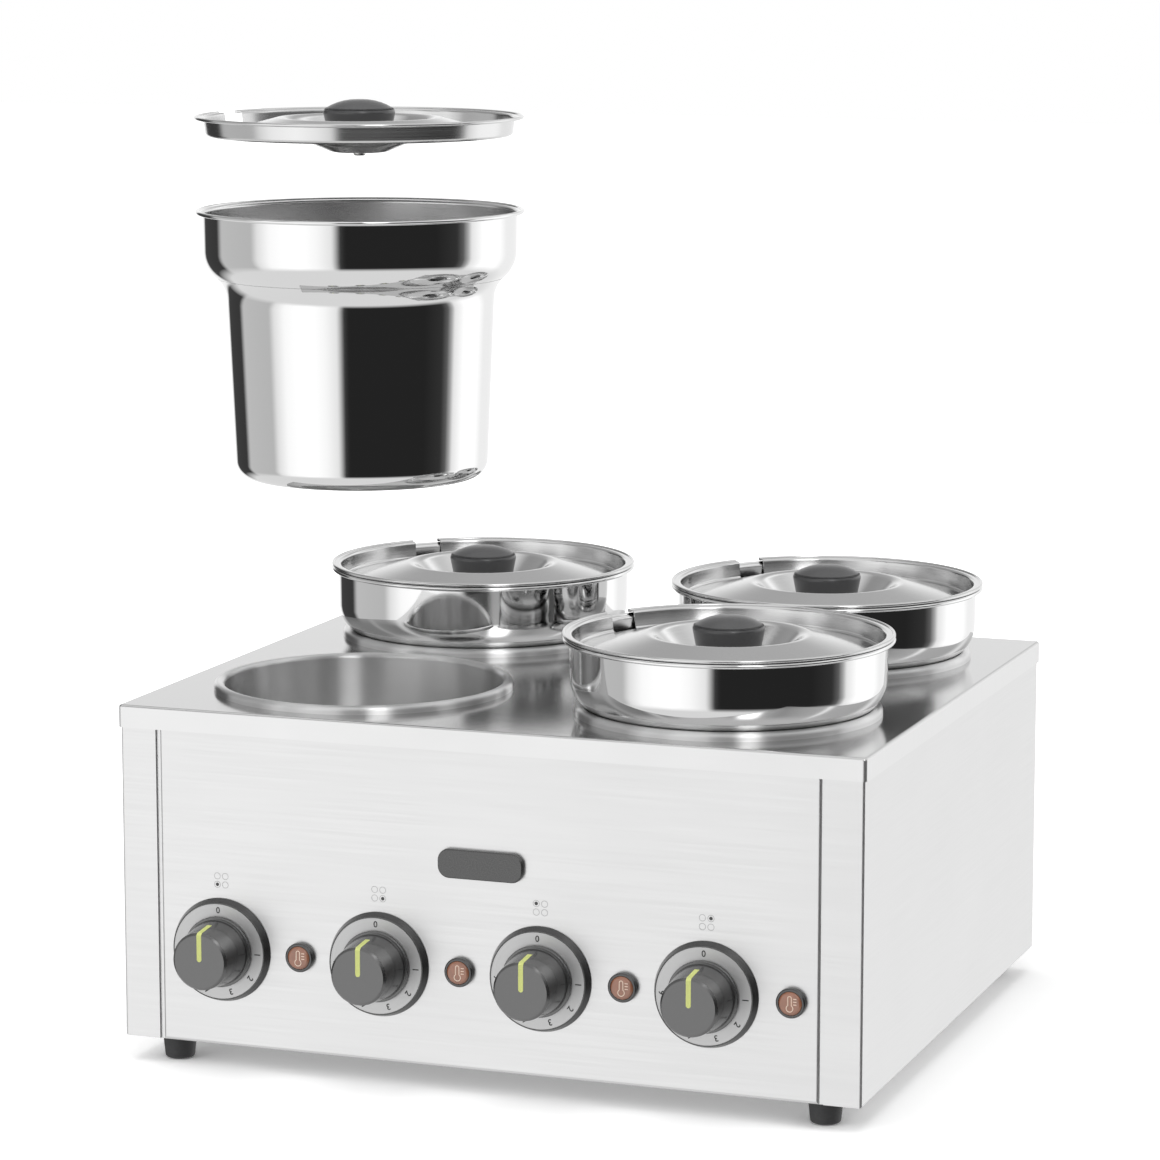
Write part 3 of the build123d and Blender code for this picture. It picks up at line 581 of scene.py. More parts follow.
def white_paper():
    # White paper sweep: it scatters light evenly. In the picture it is shown lighter than it
    # scatters, and its own glow keeps it white far from the lamps, so that only the shadow is grey.
    material = new_material("White paper")
    white, lighter = 0.8, 0.52
    glow_start, glow_end, glow_most = 0.6, 1.6, 0.75
    seen = add_node(material, "ShaderNodeLightPath").outputs["Is Camera Ray"]
    lift = {0: seen, 1: lighter, 2: white}
    shown = add_node(material, "ShaderNodeMath", lift, operation="MULTIPLY_ADD").outputs[0]
    scatter = add_node(material, "ShaderNodeBsdfDiffuse", {"Color": shown})
    place = add_node(material, "ShaderNodeTexCoord").outputs["Object"]
    away = add_node(material, "ShaderNodeVectorMath", {0: place}, operation="LENGTH").outputs["Value"]
    fade = {0: away, 1: glow_start, 2: glow_end, 4: glow_most}
    far = add_node(material, "ShaderNodeMapRange", fade).outputs[0]
    glow = add_node(material, "ShaderNodeMath", {0: seen, 1: far}, operation="MULTIPLY").outputs[0]
    light = add_node(material, "ShaderNodeEmission", {"Color": grey(1), "Strength": glow})
    both = add_node(material, "ShaderNodeAddShader", {0: scatter.outputs[0], 1: light.outputs[0]})
    add_node(material, "ShaderNodeOutputMaterial", {"Surface": both.outputs[0]})
    return material


class CasingFinish(bpy.types.Operator):
    """Gives the deck, the panels and the base plate their finishes"""

    bl_idname = "bain_marie.casing_finish"
    bl_label = "Casing"

    def execute(self, context):
        finishes = context.scene.bain_marie_finishes
        # The walls are satin with level lines. The deck's top is polished and darker than its skirt,
        # with lines from side to side. The zinc below is dull, with a large soft spangle.
        level_lines = (0.09, 0.09, 0.0012)
        lines_across = (0.12, 0.0012, 0.12)
        spangle = (0.02, 0.02, 0.02)
        wall = satin_sheet("Satin stainless sheet", finishes.casing, level_lines, roughness=0.36)
        buffed = {"polished": finishes.deck, "above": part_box("deck")[1].z}
        # Painted light: the skirt's base grey is lighter than the walls', for the tone step along its edge.
        top = satin_sheet("Polished stainless sheet", finishes.skirt, lines_across, roughness=0.36, **buffed)
        base = satin_sheet("Zinc-coated sheet", linear("#B4B4B4"), spangle, roughness=0.45)
        for node in ("front_panel", "rear_panel", "side_panel_left", "side_panel_right"):
            dress(node, wall)
        dress("deck", top)
        dress("base_plate", base)
        return {"FINISHED"}


class Wells(bpy.types.Operator):
    """Makes the wells with their rolled rims"""

    bl_idname = "bain_marie.wells"
    bl_label = "Wells"

    def execute(self, context):
        size = context.scene.bain_marie_bowls
        base = context.scene.bain_marie_finishes.well
        # Left as it was spun: a soft bright streak runs down the wall.
        name = "Spun stainless steel"
        steel = spun_steel(name, base, roughness=0.34, spread=0.04, wave=8e-6, drawn=1.0)
        for place in PLACES:
            low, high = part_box(f"well_{place}")
            deck = high.z - size.well_rim_height
            end = size.well_rim_radius - size.sheet
            corners = [
                (0, low.z),
                (size.well_radius, low.z),
                (size.well_radius, high.z - size.sheet),
                (end, high.z - size.sheet),
                (end, deck),
            ]
            rim_bend = size.well_rim_bend - size.sheet
            outer, inner = sheet_lines(corners, [size.well_corner, rim_bend, rim_bend], size.sheet)
            grid = set_at(turned(np.vstack((outer, inner[::-1]))), *middle(f"well_{place}"), 0)
            piece(f"well_{place}_shell", [grid], steel, "casing", "well_steel", f"well_{place}")
        return {"FINISHED"}


class Pots(bpy.types.Operator):
    """Makes the pots with their shoulders and rolled rims"""

    bl_idname = "bain_marie.pots"
    bl_label = "Pots"

    def execute(self, context):
        size = context.scene.bain_marie_bowls
        base = context.scene.bain_marie_finishes.bowl
        corners = [
            (0, -size.pot_height),
            (size.pot_bottom_radius, -size.pot_height),
            (size.pot_body_radius, -size.pot_body_top),
            (size.pot_collar_low_radius, -size.pot_collar_low),
            (size.pot_collar_radius, 0),
            (size.pot_rim_radius - size.pot_rim_roll, 0),
        ]
        bends = [size.pot_corner, size.pot_waist, size.pot_shoulder, size.pot_rim_bend]
        outer, inner = sheet_lines(corners, bends, size.sheet, size.pot_rim_roll)
        past_rim = 0.006
        polished = line_length(outer)[-1] + past_rim
        # A mirror outside, with clear edges in what it reflects, and satin past the rim.
        name = "Mirror-polished stainless steel"
        steel = spun_steel(name, base, roughness=0.05, spread=0.02, wave=1.2e-5, inside=polished)
        for place in PLACES:
            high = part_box(f"pot_{place}")[1]
            flange = high.z - size.sheet / 2 - size.pot_rim_roll
            grid = set_at(turned(np.vstack((outer, inner[::-1]))), *middle(f"pot_{place}"), flange)
            piece(f"pot_{place}_shell", [grid], steel, f"pot_{place}", "polished_steel", f"pot_{place}")
        return {"FINISHED"}


def split_at(lines, radius):
    """Both lines of a sheet with one more point, where the first reaches a radius. The radius
    grows all along the first line."""
    lower, upper = lines
    spot = np.searchsorted(lower[:, 0], radius)
    share = (radius - lower[spot - 1, 0]) / (lower[spot, 0] - lower[spot - 1, 0])
    added = [line[spot - 1] + share * (line[spot] - line[spot - 1]) for line in lines]
    return np.insert(lower, spot, added[0], axis=0), np.insert(upper, spot, added[1], axis=0), spot


def slotted(line, first, angle, half_width, inner):
    """Two grids of a line turned about the Z axis with a parallel-sided slot at an angle. The turn
    stops where its distance from the slot's middle line is the half width, at the angle whose sine
    is half width over radius. The second grid bridges that gap up to the row where the slot starts."""
    beside = np.arcsin(half_width / np.maximum(line[:, :1], inner))
    share = np.linspace(0, 1, ROUND_STEPS + 1)
    around = swept(line, angle + beside + share * (2 * np.pi - 2 * beside))
    across = np.linspace(-1, 1, BRIDGE_COLUMNS)
    return around, swept(line[: first + 1], angle + across * beside[: first + 1])


class Lids(bpy.types.Operator):
    """Makes the lids with their dishes, troughs and ladle slots"""

    bl_idname = "bain_marie.lids"
    bl_label = "Lids"

    def execute(self, context):
        size = context.scene.bain_marie_bowls
        base = context.scene.bain_marie_finishes.lid
        # Less polished than the pots: reflections are soft and run to the middle.
        name = "Buffed stainless steel"
        steel = spun_steel(name, base, roughness=0.18, spread=0.03, wave=1.2e-5, drawn=0.7)
        corners = [
            (size.lid_hole, -size.lid_dish_depth),
            (size.lid_dish_radius, -size.lid_dish_depth),
            (size.lid_bowl_radius, -size.lid_bowl_depth),
            (size.lid_crest_radius, size.lid_crest_height),
            (size.lid_trough_radius, -size.lid_trough_depth),
            (size.lid_wall_radius, 0),
            (size.lid_rim_radius - size.lid_rim_roll, 0),
        ]
        bends = [size.lid_dish_bend, size.lid_bowl_bend, size.lid_crest_bend]
        bends += [size.lid_trough_bend, size.lid_rim_bend]
        lines = sheet_lines(corners, bends, size.sheet, size.lid_rim_roll)
        lower, upper, first = split_at(lines, size.slot_inner)
        for place, slot_angle in zip(PLACES, SLOT_ANGLES):
            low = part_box(f"lid_{place}")[0]
            angle = math.radians(slot_angle)
            half = size.slot_width / 2
            below, below_bridge = slotted(lower, first, angle, half, size.slot_inner)
            above, above_bridge = slotted(upper, first, angle, half, size.slot_inner)
            # The sheet's edge: round the hole, at the slot's inner end and along the slot's sides.
            under, over = below[0], above[0]
            under_bridge, over_bridge = below_bridge[0], above_bridge[0]
            walls = [
                flat_strip(under[0], over[0]),
                flat_strip(under_bridge[0], over_bridge[0]),
                flat_strip(under_bridge[first], over_bridge[first]),
                flat_strip(under[first:, 0], over[first:, 0]),
                flat_strip(under[first:, -1], over[first:, -1]),
            ]
            grids = [below, below_bridge, above, above_bridge, *walls]
            flange = low.z + size.lid_dish_depth
            grids = [set_at(grid, *middle(f"pot_{place}"), flange) for grid in grids]
            piece(f"lid_{place}_shell", grids, steel, f"lid_{place}", "polished_steel", f"lid_{place}")
        return {"FINISHED"}


class LidKnobs(bpy.types.Operator):
    """Makes the domed knobs of the lids and finishes their screws"""

    bl_idname = "bain_marie.lid_knobs"
    bl_label = "Lid knobs"

    def execute(self, context):
        size = context.scene.bain_marie_fittings
        base = context.scene.bain_marie_finishes.lid_knob
        # The resin is satin with a faint sheen, and the screws' plating is bright with a fine grain.
        phenolic = moulded("Moulded phenolic", base, roughness=0.36, grain=0.0016, relief=5e-6, coat=0.15)
        zinc = satin_sheet("Bright zinc", linear("#C9C9C6"), (0.002, 0.002, 0.002), roughness=0.28)
        for place in PLACES:
            low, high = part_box(f"lid_knob_{place}")
            flange = high.z - size.lid_knob_top
            rise, bend = size.lid_knob_rise, size.lid_knob_bend
            # Radius of a dome with that rise and width, and where its edge's tangent meets its top's.
            reach = (size.lid_knob_radius**2 + rise**2) / (2 * rise)
            tangent = reach * rise / size.lid_knob_radius
            corners = [
                (0, low.z - flange),
                (size.lid_knob_foot, low.z - flange),
                (size.lid_knob_foot, low.z - flange + size.lid_knob_foot_height),
                (size.lid_knob_flare, -size.lid_knob_flare_depth),
                (size.lid_knob_radius, size.lid_knob_top - rise),
                (tangent, size.lid_knob_top),
                (0, size.lid_knob_top),
            ]
            # The full radius would leave no room for the bend round the widest ring.
            foot_bend, dome = bend / 5, 0.8 * reach
            section = rounded(corners, [foot_bend, bend, bend, bend, dome])[0]
            grid = set_at(turned(section, SMALL_STEPS), *middle(f"pot_{place}"), flange)
            mesh = mesh_of(f"lid_{place}_grip", [grid], sharp=50)
            knob = f"lid_knob_{place}"
            piece(f"lid_{place}_grip", mesh, phenolic, f"lid_{place}", "lid_knob_plastic", knob)
            dress(f"lid_screw_{place}", zinc)
        return {"FINISHED"}


class Dials(bpy.types.Operator):
    """Makes the bezels, the scale discs and their numbers"""

    bl_idname = "bain_marie.dials"
    bl_label = "Dials"

    def execute(self, context):
        size = context.scene.bain_marie_fittings
        finishes = context.scene.bain_marie_finishes
        # Nearly black, and glossy enough for the bezels' edges to catch the light.
        name = "Black moulded plastic"
        black = moulded(name, finishes.black, roughness=0.22, grain=0.001, relief=2e-6, gloss=0.8)
        bezel_bends = [0.0002, 0.0006, 0.0003, 0.0002, 0.0001, 0.0002]
        disc_bends = [0.0001, 0.0001, 0.00015, 0.0001]
        seat = size.bezel_depth - size.scale_sheet
        bezel = rounded(
            [
                (size.scale_hole, seat / 2),
                (size.scale_hole, 0),
                (size.bezel_base, 0),
                (size.bezel_front, size.bezel_depth),
                (size.scale_radius, size.bezel_depth),
                (size.scale_radius, seat),
                (size.scale_hole, seat),
                (size.scale_hole, seat / 2),
            ],
            bezel_bends,
        )[0]
        disc = rounded(
            [
                (size.scale_hole, seat + size.scale_sheet / 2),
                (size.scale_hole, seat),
                (size.scale_radius, seat),
                (size.scale_radius, size.bezel_depth),
                (size.scale_hole, size.bezel_depth),
                (size.scale_hole, seat + size.scale_sheet / 2),
            ],
            disc_bends,
        )[0]
        spots = [dial_spot(place) for place in PLACES]
        for place, spot in zip(PLACES, spots):
            grid = turned_front(bezel, DIAL_STEPS, spot)
            piece(f"dial_{place}_ring", [grid], black, "casing", "bezel_plastic", f"dial_bezel_{place}")
        discs = [turned_front(disc, DIAL_STEPS, spot) for spot in spots]
        metal = turned_aluminium(finishes.scale)
        piece("dial_scales", discs, metal, "casing", "scale_metal", "scale_discs")
        ink = printed("Black screen ink", linear("#202020"))
        piece("dial_numbers", self.numbers(size, spots), ink, "casing", "scale_metal")
        return {"FINISHED"}

    def numbers(self, size, spots):
        """Numbers round each dial: 0 at the top, 1 at a quarter turn, then 36 degrees apart. Each
        stands upright on its own radius."""
        count, first, apart = 7, 90, 36
        work = bmesh.new()
        for number in range(count):
            curve = bpy.data.curves.new("number", "FONT")
            curve.body = str(number)
            curve.size = size.number_size
            curve.align_x = "CENTER"
            curve.align_y = "CENTER"
            curve.offset = size.number_weight
            curve.resolution_u = 4
            text = bpy.data.objects.new("number", curve)
            flat = bpy.data.meshes.new_from_object(text)
            points = np.empty(len(flat.vertices) * 3)
            flat.vertices.foreach_get("co", points)
            points = points.reshape(-1, 3)
            turn = -math.radians(first + apart * (number - 1)) if number else 0.0
            x = points[:, 0]
            y = points[:, 1] + size.number_radius
            turned_x = x * math.cos(turn) - y * math.sin(turn)
            turned_y = x * math.sin(turn) + y * math.cos(turn)
            front = np.full(len(x), -size.bezel_depth - INK)
            for spot in spots:
                placed = np.stack((turned_x, front, turned_y), axis=1) + spot
                flat.vertices.foreach_set("co", placed.ravel())
                work.from_mesh(flat)
            bpy.data.objects.remove(text)
            bpy.data.curves.remove(curve)
            bpy.data.meshes.remove(flat)
        mesh = bpy.data.meshes.new("dial_numbers")
        work.to_mesh(mesh)
        work.free()
        return mesh


class ControlKnobs(bpy.types.Operator):
    """Makes the control knobs and their pointer lines"""

    bl_idname = "bain_marie.control_knobs"
    bl_label = "Control knobs"

    def execute(self, context):
        size = context.scene.bain_marie_fittings
        finishes = context.scene.bain_marie_finishes
        # A smooth hard skin: the face and the edge mirror the studio softly and look dark grey.
        shine = {"roughness": 0.26, "spread": 0.01, "coat": 0.5, "gloss": 1.0}
        plastic = moulded("Knob plastic", finishes.knob, grain=0.0009, relief=1e-6, **shine)
        paint = printed("Pointer paint", finishes.pointer)
        zinc = bpy.data.materials["Bright zinc"]
        back = size.bezel_depth + size.knob_gap
        # The paint on the face ends level with the front of the knob's node.
        face = back + size.knob_length - size.pointer_paint
        step = back + size.knob_flange
        outline = [(0, back), (size.knob_flange_radius, back), (size.knob_flange_radius, step)]
        outline += [(size.knob_base, step), *self.edge(size, face, step), (0, face)]
        bends = [0.0004, 0.0007, 0.0004, 0.0003, 0.0003]
        section = rounded(outline, bends)[0]
        for place in PLACES:
            spot = dial_spot(place)
            grid = turned_front(section, DIAL_STEPS, spot)
            body = f"control_knob_{place}"
            piece(f"knob_{place}_grip", [grid], plastic, body, "knob_plastic", body)
            grid = set_at(facing_front(self.pointer(size, face, step)), *spot)
            mesh = mesh_of(f"knob_{place}_pointer", [grid], sharp=60)
            piece(f"knob_{place}_pointer", mesh, paint, body, "knob_plastic")
            dress(f"knob_spindle_{place}", zinc)
        return {"FINISHED"}

    def edge(self, size, face, step):
        """Two corners of the slanted edge: one on the knob's side and one on its face, each as far
        from the corner where side and face would meet."""
        slope = size.knob_edge / (face - step)
        side = (size.knob_face + slope * (size.knob_base - size.knob_face), face - size.knob_edge)
        return side, (size.knob_face - size.knob_edge, face)

    def pointer(self, size, face, step):
        """Grid of a strip that follows the knob's outline from the middle of its face over the edge
        and down its side. Across, the strip goes out above the knob by the paint's thickness and
        comes back inside it, and its two end rows close it. Its inner end is round."""
        low = face - size.pointer_reach * (face - step)
        low_radius = size.knob_face + size.pointer_reach * (size.knob_base - size.knob_face)
        side, front = self.edge(size, face, step)
        edge_bend, round_end, sunk = 0.0003, 0.012, -0.0003
        line, normals = rounded([(0, face), front, side, (low_radius, low)], [edge_bend, edge_bend])
        face_rows, columns = 8, 9
        share = np.linspace(0, 1, face_rows)[:, None]
        line = np.vstack((line[0] + share * (line[1] - line[0]), line[2:]))
        normals = np.vstack((np.repeat(normals[:1], face_rows, axis=0), normals[2:]))
        half = size.pointer_width / 2
        across = half * np.sin(np.linspace(-1, 1, columns) * np.pi / 2)
        loop = np.concatenate((across, across[::-1], across[:1]))
        paint = size.pointer_paint
        lift = np.concatenate((np.full(columns, paint), np.full(columns, sunk), [paint]))
        r = line[:, :1] + normals[:, :1] * lift
        z = line[:, 1:] + normals[:, 1:] * lift
        ending = np.clip(1 - line[:, :1] / round_end, 0, 1)
        y = r * np.sqrt(1 - (loop / size.knob_face) ** 2) + ending * (half - np.sqrt(half**2 - loop**2))
        x = np.broadcast_to(loop, y.shape)
        points = np.stack((x, y, np.broadcast_to(z, y.shape)), axis=-1)
        # In an end row, each point of the paint's outside meets the one below it inside the knob.
        inside = np.arange(columns, 2 * columns)
        below = np.concatenate((inside[::-1], inside, inside[-1:]))
        points = np.concatenate((points[:1, below], points, points[-1:, below]))
        return points, points[..., :2].copy()


class Lamps(bpy.types.Operator):
    """Makes the pilot lamps with their lenses and thermometer signs"""

    bl_idname = "bain_marie.lamps"
    bl_label = "Pilot lamps"

    def execute(self, context):
        size = context.scene.bain_marie_fittings
        finishes = context.scene.bain_marie_finishes
        low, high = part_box("lamp_lenses")
        half = (high.z - low.z) / 2
        panel = dial_spot("front_left")[1]
        height = (low.z + high.z) / 2
        seat = size.lamp_height / 5
        ring_bends = [0.0003, 0.0003, 0.0002, 0.0011, 0.0004, 0.0001]
        lens_bends = [0.0001, size.lens_edge]
        ring = rounded(
            [
                (0, -size.lamp_depth),
                (size.lamp_neck, -size.lamp_depth),
                (size.lamp_neck, 0),
                (size.lamp_radius, 0),
                (size.lamp_radius, size.lamp_height),
                (size.lens_radius, size.lamp_height),
                (size.lens_radius, seat),
                (0, seat),
            ],
            ring_bends,
        )[0]
        top = size.lens_top
        corners = [(0, seat), (size.lens_radius, seat), (size.lens_radius, top), (0, top)]
        lens = rounded(corners, lens_bends)[0]
        rings, lenses, signs = [], [], []
        # The lenses' box ends at the first and the last lamp, and the others stand evenly between.
        for x in np.linspace(low.x + half, high.x - half, len(PLACES)):
            rings.append(turned_front(ring, SMALL_STEPS, (x, panel, height)))
            lenses.append(turned_front(lens, SMALL_STEPS, (x, panel, height)))
            for grid in self.thermometer():
                signs.append(set_at(facing_front(grid), x, panel - top - INK, height))
        black = bpy.data.materials["Black moulded plastic"]
        piece("lamp_rings", rings, black, "casing", "bezel_plastic", "lamp_housings")
        amber = lens_plastic(finishes.lens)
        piece("lamp_amber", lenses, amber, "casing", "lens_plastic", "lamp_lenses")
        cream = printed("Cream screen ink", linear("#F4DCC8"))
        piece("lamp_signs", signs, cream, "casing", "lens_plastic")
        return {"FINISHED"}

    def thermometer(self):
        """Flat grids of a thermometer sign: a ribbon round a bulb and a stem, at even distances to
        both sides of its line, and three bars."""
        bulb_radius, bulb_depth = 0.0024, 0.0031
        stem_radius, stem_top = 0.0013, 0.0042
        half_line = 0.00032
        bar_start, bar_end, bar_width = 0.0026, 0.0050, 0.0007
        bar_heights = (0.0034, 0.0014, -0.0006)
        neck, bulb_steps, stem_steps = math.radians(57), 25, 9
        bulb = np.linspace(neck, -math.pi - neck, bulb_steps)
        stem = np.linspace(math.pi, 0, stem_steps)
        around = bulb_radius * np.stack((np.cos(bulb), np.sin(bulb)), axis=1) - (0, bulb_depth)
        over = stem_radius * np.stack((np.cos(stem), np.sin(stem)), axis=1) + (0, stem_top)
        line = np.vstack((around, over, around[:1]))
        ahead = np.gradient(line, axis=0)
        ahead[[0, -1]] = line[1] - line[-2]
        ahead /= np.linalg.norm(ahead, axis=1, keepdims=True)
        side = np.stack((-ahead[:, 1], ahead[:, 0]), axis=1)
        edges = [line + offset * side for offset in (-half_line, half_line)]
        grids = [flat_strip(*(np.insert(edge, 2, 0, axis=1) for edge in edges))]
        for y in bar_heights:
            ends = np.array([[bar_start, y, 0], [bar_end, y, 0]])
            grids.append(flat_strip(ends, ends + (0, bar_width, 0)))
        return grids


class Signs(bpy.types.Operator):
    """Prints the pot-place signs above the dials"""

    bl_idname = "bain_marie.signs"
    bl_label = "Pot-place signs"

    def execute(self, context):
        size = context.scene.bain_marie_fittings
        half = size.sign_pitch / 2
        corners = {
            "front_left": (-half, -half),
            "front_right": (half, -half),
            "rear_left": (-half, half),
            "rear_right": (half, half),
        }
        ring = np.array([(size.sign_ring - size.sign_line, 0), (size.sign_ring, 0)])
        dot = np.array([(0, 0), (size.sign_dot, 0)])
        rings, dots = [], []
        for place in PLACES:
            x, y, z = dial_spot(place)
            for other, (across, up) in corners.items():
                spot = (x + across, y - INK, z + size.sign_height + up)
                rings.append(turned_front(ring, SIGN_STEPS, spot))
                if other == place:
                    dots.append(turned_front(dot, SIGN_STEPS, spot))
        pale = printed("Grey screen ink", linear("#B5B5B5"))
        dark = printed("Dark screen ink", linear("#4C4C4C"))
        piece("sign_rings", rings, pale, "casing", "casing_steel")
        piece("sign_dots", dots, dark, "casing", "casing_steel")
        return {"FINISHED"}


class Badge(bpy.types.Operator):
    """Makes the bare plate on the front panel"""

    bl_idname = "bain_marie.badge"
    bl_label = "Front plate"

    def execute(self, context):
        size = context.scene.bain_marie_fittings
        low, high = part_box("badge_plate")
        half = np.array(((high.x - low.x) / 2, (high.z - low.z) / 2))
        depth = high.y - low.y
        bend, edge = size.badge_corner, size.badge_edge
        corner_steps, flat_edge = 13, 4 * edge
        # The outline is a quarter circle at each corner. Rows of it follow a section with a round edge,
        # moved in along the outline's normals, and the face and the back shrink to the middle.
        corners = [(1, 1), (-1, 1), (-1, -1), (1, -1)]
        quarter = np.linspace(0, np.pi / 2, corner_steps)
        turns = (quarter + np.pi / 2 * np.arange(len(corners))[:, None]).ravel()
        signs = np.repeat(corners, corner_steps, axis=0)
        unit = np.stack((np.cos(turns), np.sin(turns)), axis=1)
        outline = signs * (half - bend) + bend * unit
        unit = np.vstack((unit, unit[:1]))
        outline = np.vstack((outline, outline[:1]))
        section = rounded([(0, 0), (0, depth), (-flat_edge, depth)], [edge])[0]
        rows = [np.column_stack((outline + inset * unit, np.full(len(unit), z))) for inset, z in section]
        face = [rows[-1] * (share, share, 1) for share in (0.75, 0.5, 0.25, 0)]
        back = [rows[0] * (share, share, 1) for share in (0, 0.5)]
        points = np.array(back + rows + face)
        spot = (low.x + high.x) / 2, high.y, (low.z + high.z) / 2
        grid = set_at(facing_front((points, points[..., :2].copy())), *spot)
        # Dark, with an even sheen.
        shine = {"roughness": 0.28, "spread": 0.02, "gloss": 0.8}
        plate = moulded("Grey moulded plate", linear("#2A2A2A"), grain=0.0008, relief=2e-6, **shine)
        piece("front_plate", [grid], plate, "casing", "badge_plastic", "badge_plate")
        return {"FINISHED"}


class Feet(bpy.types.Operator):
    """Makes the rubber feet"""

    bl_idname = "bain_marie.feet"
    bl_label = "Feet"

    def execute(self, context):
        size = context.scene.bain_marie_fittings
        base = context.scene.bain_marie_finishes.rubber
        # Matt, with hardly any highlight.
        rubber = moulded("Moulded rubber", base, roughness=0.62, grain=0.0015, relief=1.5e-5)
        bends = [0.0002, 0.0002, 0.0003, 0.002, 0.0006, 0.0002]
        start = (size.foot_hole, (size.foot_recess_depth + size.foot_height) / 2)
        section = rounded(
            [
                start,
                (size.foot_hole, size.foot_recess_depth),
                (size.foot_recess, size.foot_recess_depth),
                (size.foot_recess, 0),
                (size.foot_sole, 0),
                (size.foot_top, size.foot_height),
                (size.foot_hole, size.foot_height),
                start,
            ],
            bends,
        )[0]
        for place in PLACES:
            grid = set_at(turned(section, FOOT_STEPS), *middle(f"foot_{place}"), 0)
            piece(f"foot_{place}_pad", [grid], rubber, "casing", "foot_rubber", f"foot_{place}")
        return {"FINISHED"}


class InnerFinish(bpy.types.Operator):
    """Gives the screws, the gland and the parts inside their finishes"""

    bl_idname = "bain_marie.inner_finish"
    bl_label = "Screws and inside"

    def execute(self, context):
        zinc = bpy.data.materials["Bright zinc"]
        black = bpy.data.materials["Black moulded plastic"]
        # Pressed resin, a coarse sleeve round the wires and steel browned by heat: all of them dull.
        cream = moulded("Cream phenolic", linear("#C9C3B2"), roughness=0.45)
        sleeve = moulded("Glass-fibre sleeve", linear("#8D8780"), roughness=0.6, grain=0.001, relief=2e-5)
        dark = satin_sheet("Heat-darkened steel", linear("#6E6A66"), (0.004, 0.004, 0.004), roughness=0.5)
        for node in ("base_screws", "foot_screws"):
            dress(node, zinc)
        dress("cable_gland", black)
        dress("terminal_block", cream)
        dress("wiring_loom", sleeve)
        for place in PLACES:
            dress(f"heater_{place}", dark)
            dress(f"thermostat_{place}", cream)
        return {"FINISHED"}


def screens(world, studio):
    """Colour of the studio in a direction: by the turn round the Z axis, from the lower screens
    near the horizon to the upper ones, with a plain ceiling overhead and a plain floor below."""
    direction = add_node(world, "ShaderNodeTexCoord").outputs["Generated"]
    x, y, z = add_node(world, "ShaderNodeSeparateXYZ", {0: direction}).outputs
    front = add_node(world, "ShaderNodeMath", {0: y, 1: -1.0}, operation="MULTIPLY").outputs[0]
    turn = add_node(world, "ShaderNodeMath", {0: x, 1: front}, operation="ARCTAN2").outputs[0]
    share = add_node(world, "ShaderNodeMapRange", {0: turn, 1: -math.pi, 2: math.pi}).outputs[0]
    rows = []
    for row in (SCREENS, UPPER_SCREENS):
        angles, levels = zip(*row)
        ramp = add_node(world, "ShaderNodeValToRGB", {0: share})
        stops = ramp.color_ramp.elements
        for angle in angles[1:-1]:
            stops.new(0.5 + angle / 360)
        for stop, level in zip(stops, levels):
            stop.color = grey(level)
        rows.append(ramp.outputs[0])
    sides, upper = rows
    ceiling, ground = grey(studio.ceiling), grey(studio.ground)
    # A layer starts at one height of a direction of unit length, and is full at another.
    for layer, start, full in ((upper, 0.16, 0.42), (ceiling, 0.72, 0.86), (ground, -0.36, -0.52)):
        share = add_node(world, "ShaderNodeMapRange", {0: z, 1: start, 2: full}).outputs[0]
        inputs = {0: share, 6: sides, 7: layer}
        sides = add_node(world, "ShaderNodeMix", inputs, data_type="RGBA").outputs[2]
    return sides


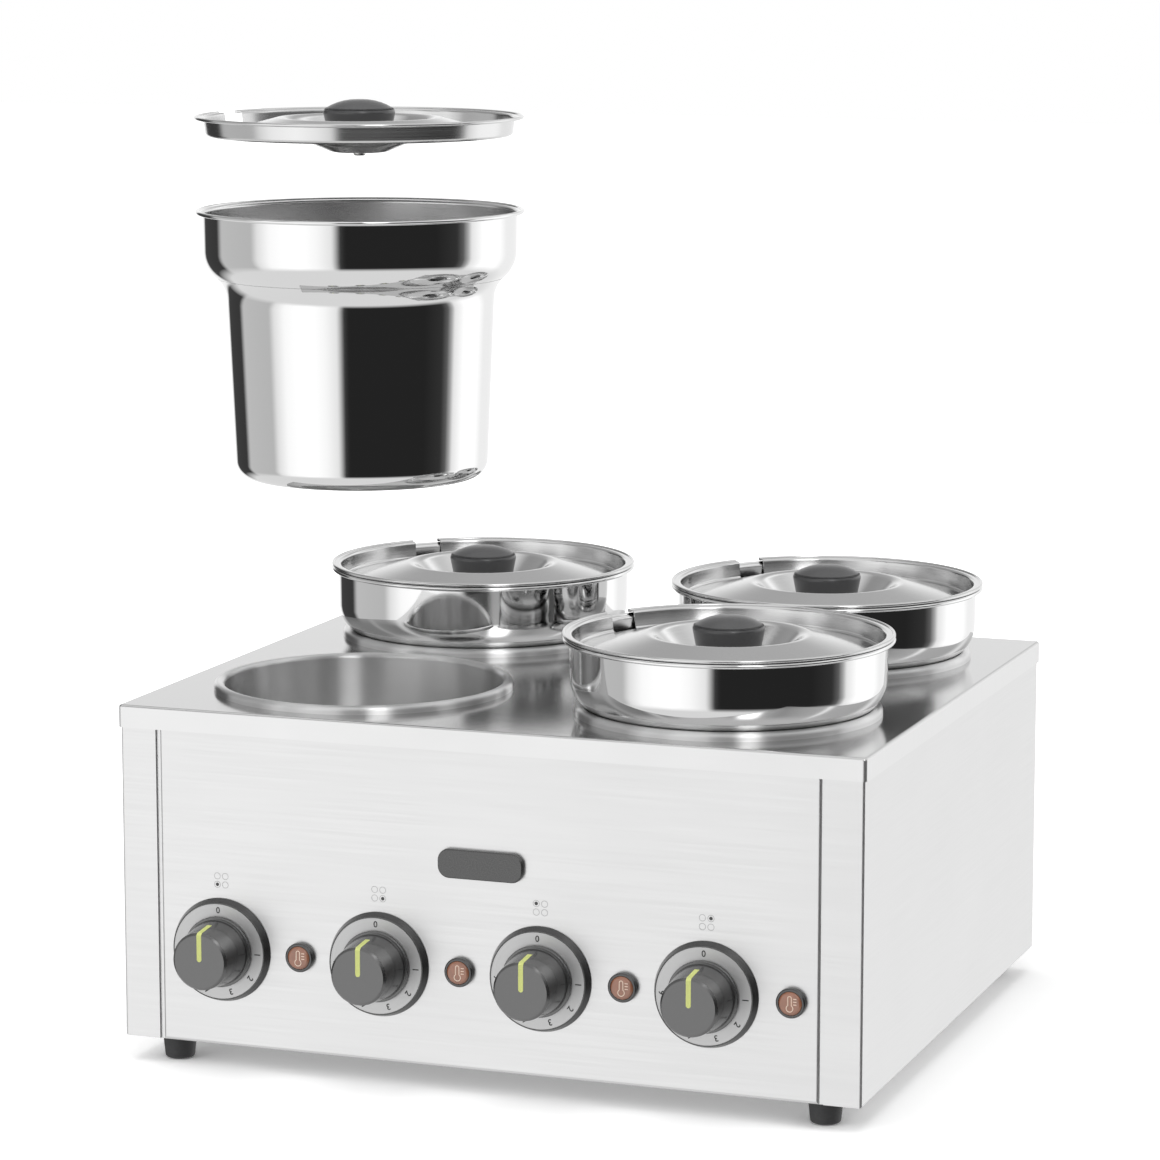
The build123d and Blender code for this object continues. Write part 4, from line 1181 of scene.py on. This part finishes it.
class SetStage(bpy.types.Operator):
    """Sets up the floor, the studio light and the camera"""

    bl_idname = "bain_marie.set_stage"
    bl_label = "Studio"

    def execute(self, context):
        studio = context.scene.bain_marie_studio
        self.surroundings(context, studio)
        self.floor()
        self.lights()
        self.camera(context, studio)
        context.scene.view_settings.view_transform = "Standard"
        return {"FINISHED"}

    def surroundings(self, context, studio):
        """A world that is white in the picture, gives an even fill and shows screens to reflections."""
        world = bpy.data.worlds.new("Studio")
        world.use_nodes = True
        world.node_tree.nodes.clear()
        path = add_node(world, "ShaderNodeLightPath").outputs
        straight = {0: path["Is Camera Ray"], 1: path["Is Transmission Ray"]}
        clear = add_node(world, "ShaderNodeMath", straight, operation="MAXIMUM").outputs[0]
        inputs = {0: clear, 6: grey(studio.fill), 7: grey(1)}
        plain = add_node(world, "ShaderNodeMix", inputs, data_type="RGBA").outputs[2]
        inputs = {0: path["Is Glossy Ray"], 6: plain, 7: screens(world, studio)}
        light = add_node(world, "ShaderNodeMix", inputs, data_type="RGBA").outputs[2]
        air = add_node(world, "ShaderNodeBackground", {"Color": light, "Strength": 1.0})
        add_node(world, "ShaderNodeOutputWorld", {"Surface": air.outputs[0]})
        context.scene.world = world

    def floor(self):
        """A white floor just below the feet, which keeps the shadow."""
        reach, gap, lines = 12, 0.0004, 5
        edge = np.linspace(-reach, reach, lines)
        points = np.stack((*np.meshgrid(edge, edge), np.full((lines, lines), -gap)), axis=-1)
        mesh = mesh_of("floor", [(points, points[..., :2].copy())])
        mesh.materials.append(white_paper())
        floor = add_object("floor", mesh)
        floor.visible_glossy = False

    def lights(self):
        """Large soft lamps above, to the left and to the right."""
        for name, place, size, power in (
            ("top_lamp", (0.0, -0.3, 2.6), 2.4, 26),
            ("left_lamp", (-1.9, -1.9, 1.5), 1.8, 26),
            ("right_lamp", (2.3, -0.6, 1.4), 1.6, 14),
        ):
            data = bpy.data.lights.new(name, "AREA")
            data.shape = "SQUARE"
            data.size = size
            data.energy = power
            lamp = add_object(name, data)
            lamp.location = place
            lamp.rotation_euler = Vector(place).to_track_quat("Z", "Y").to_euler()
            lamp.visible_glossy = False

    def camera(self, context, studio):
        """The camera at the place and the angles of the studio's settings, level across."""
        data = bpy.data.cameras.new("photo_camera")
        data.sensor_width = 36
        data.lens = studio.lens
        data.clip_end = 60
        camera = add_object("photo_camera", data)
        camera.location = studio.camera_place
        camera.rotation_euler = (math.pi / 2 - studio.elevation, 0, studio.azimuth)
        context.scene.camera = camera


OPERATORS = (
    CasingFinish,
    Wells,
    Pots,
    Lids,
    LidKnobs,
    Dials,
    ControlKnobs,
    Lamps,
    Signs,
    Badge,
    Feet,
    InnerFinish,
    SetStage,
)


class BainMariePanel(bpy.types.Panel):
    """Lists the pieces of the bain marie"""

    bl_idname = "VIEW3D_PT_bain_marie"
    bl_label = "Bain marie"
    bl_space_type = "VIEW_3D"
    bl_region_type = "UI"
    bl_category = "Bain marie"

    def draw(self, context):
        for operator in OPERATORS:
            self.layout.operator(operator.bl_idname)


SETTINGS = {
    "bain_marie_bowls": BowlSizes,
    "bain_marie_fittings": FittingSizes,
    "bain_marie_finishes": Finishes,
    "bain_marie_studio": Studio,
}


def register():
    for group in (*SETTINGS.values(), *OPERATORS, BainMariePanel):
        bpy.utils.register_class(group)
    for name, group in SETTINGS.items():
        setattr(bpy.types.Scene, name, bpy.props.PointerProperty(type=group))


def unregister():
    for name in SETTINGS:
        delattr(bpy.types.Scene, name)
    for group in (BainMariePanel, *reversed(OPERATORS), *SETTINGS.values()):
        bpy.utils.unregister_class(group)


def main():
    register()
    for operator in OPERATORS:
        group, action = operator.bl_idname.split(".")
        getattr(getattr(bpy.ops, group), action)()


if __name__ == "__main__":
    main()
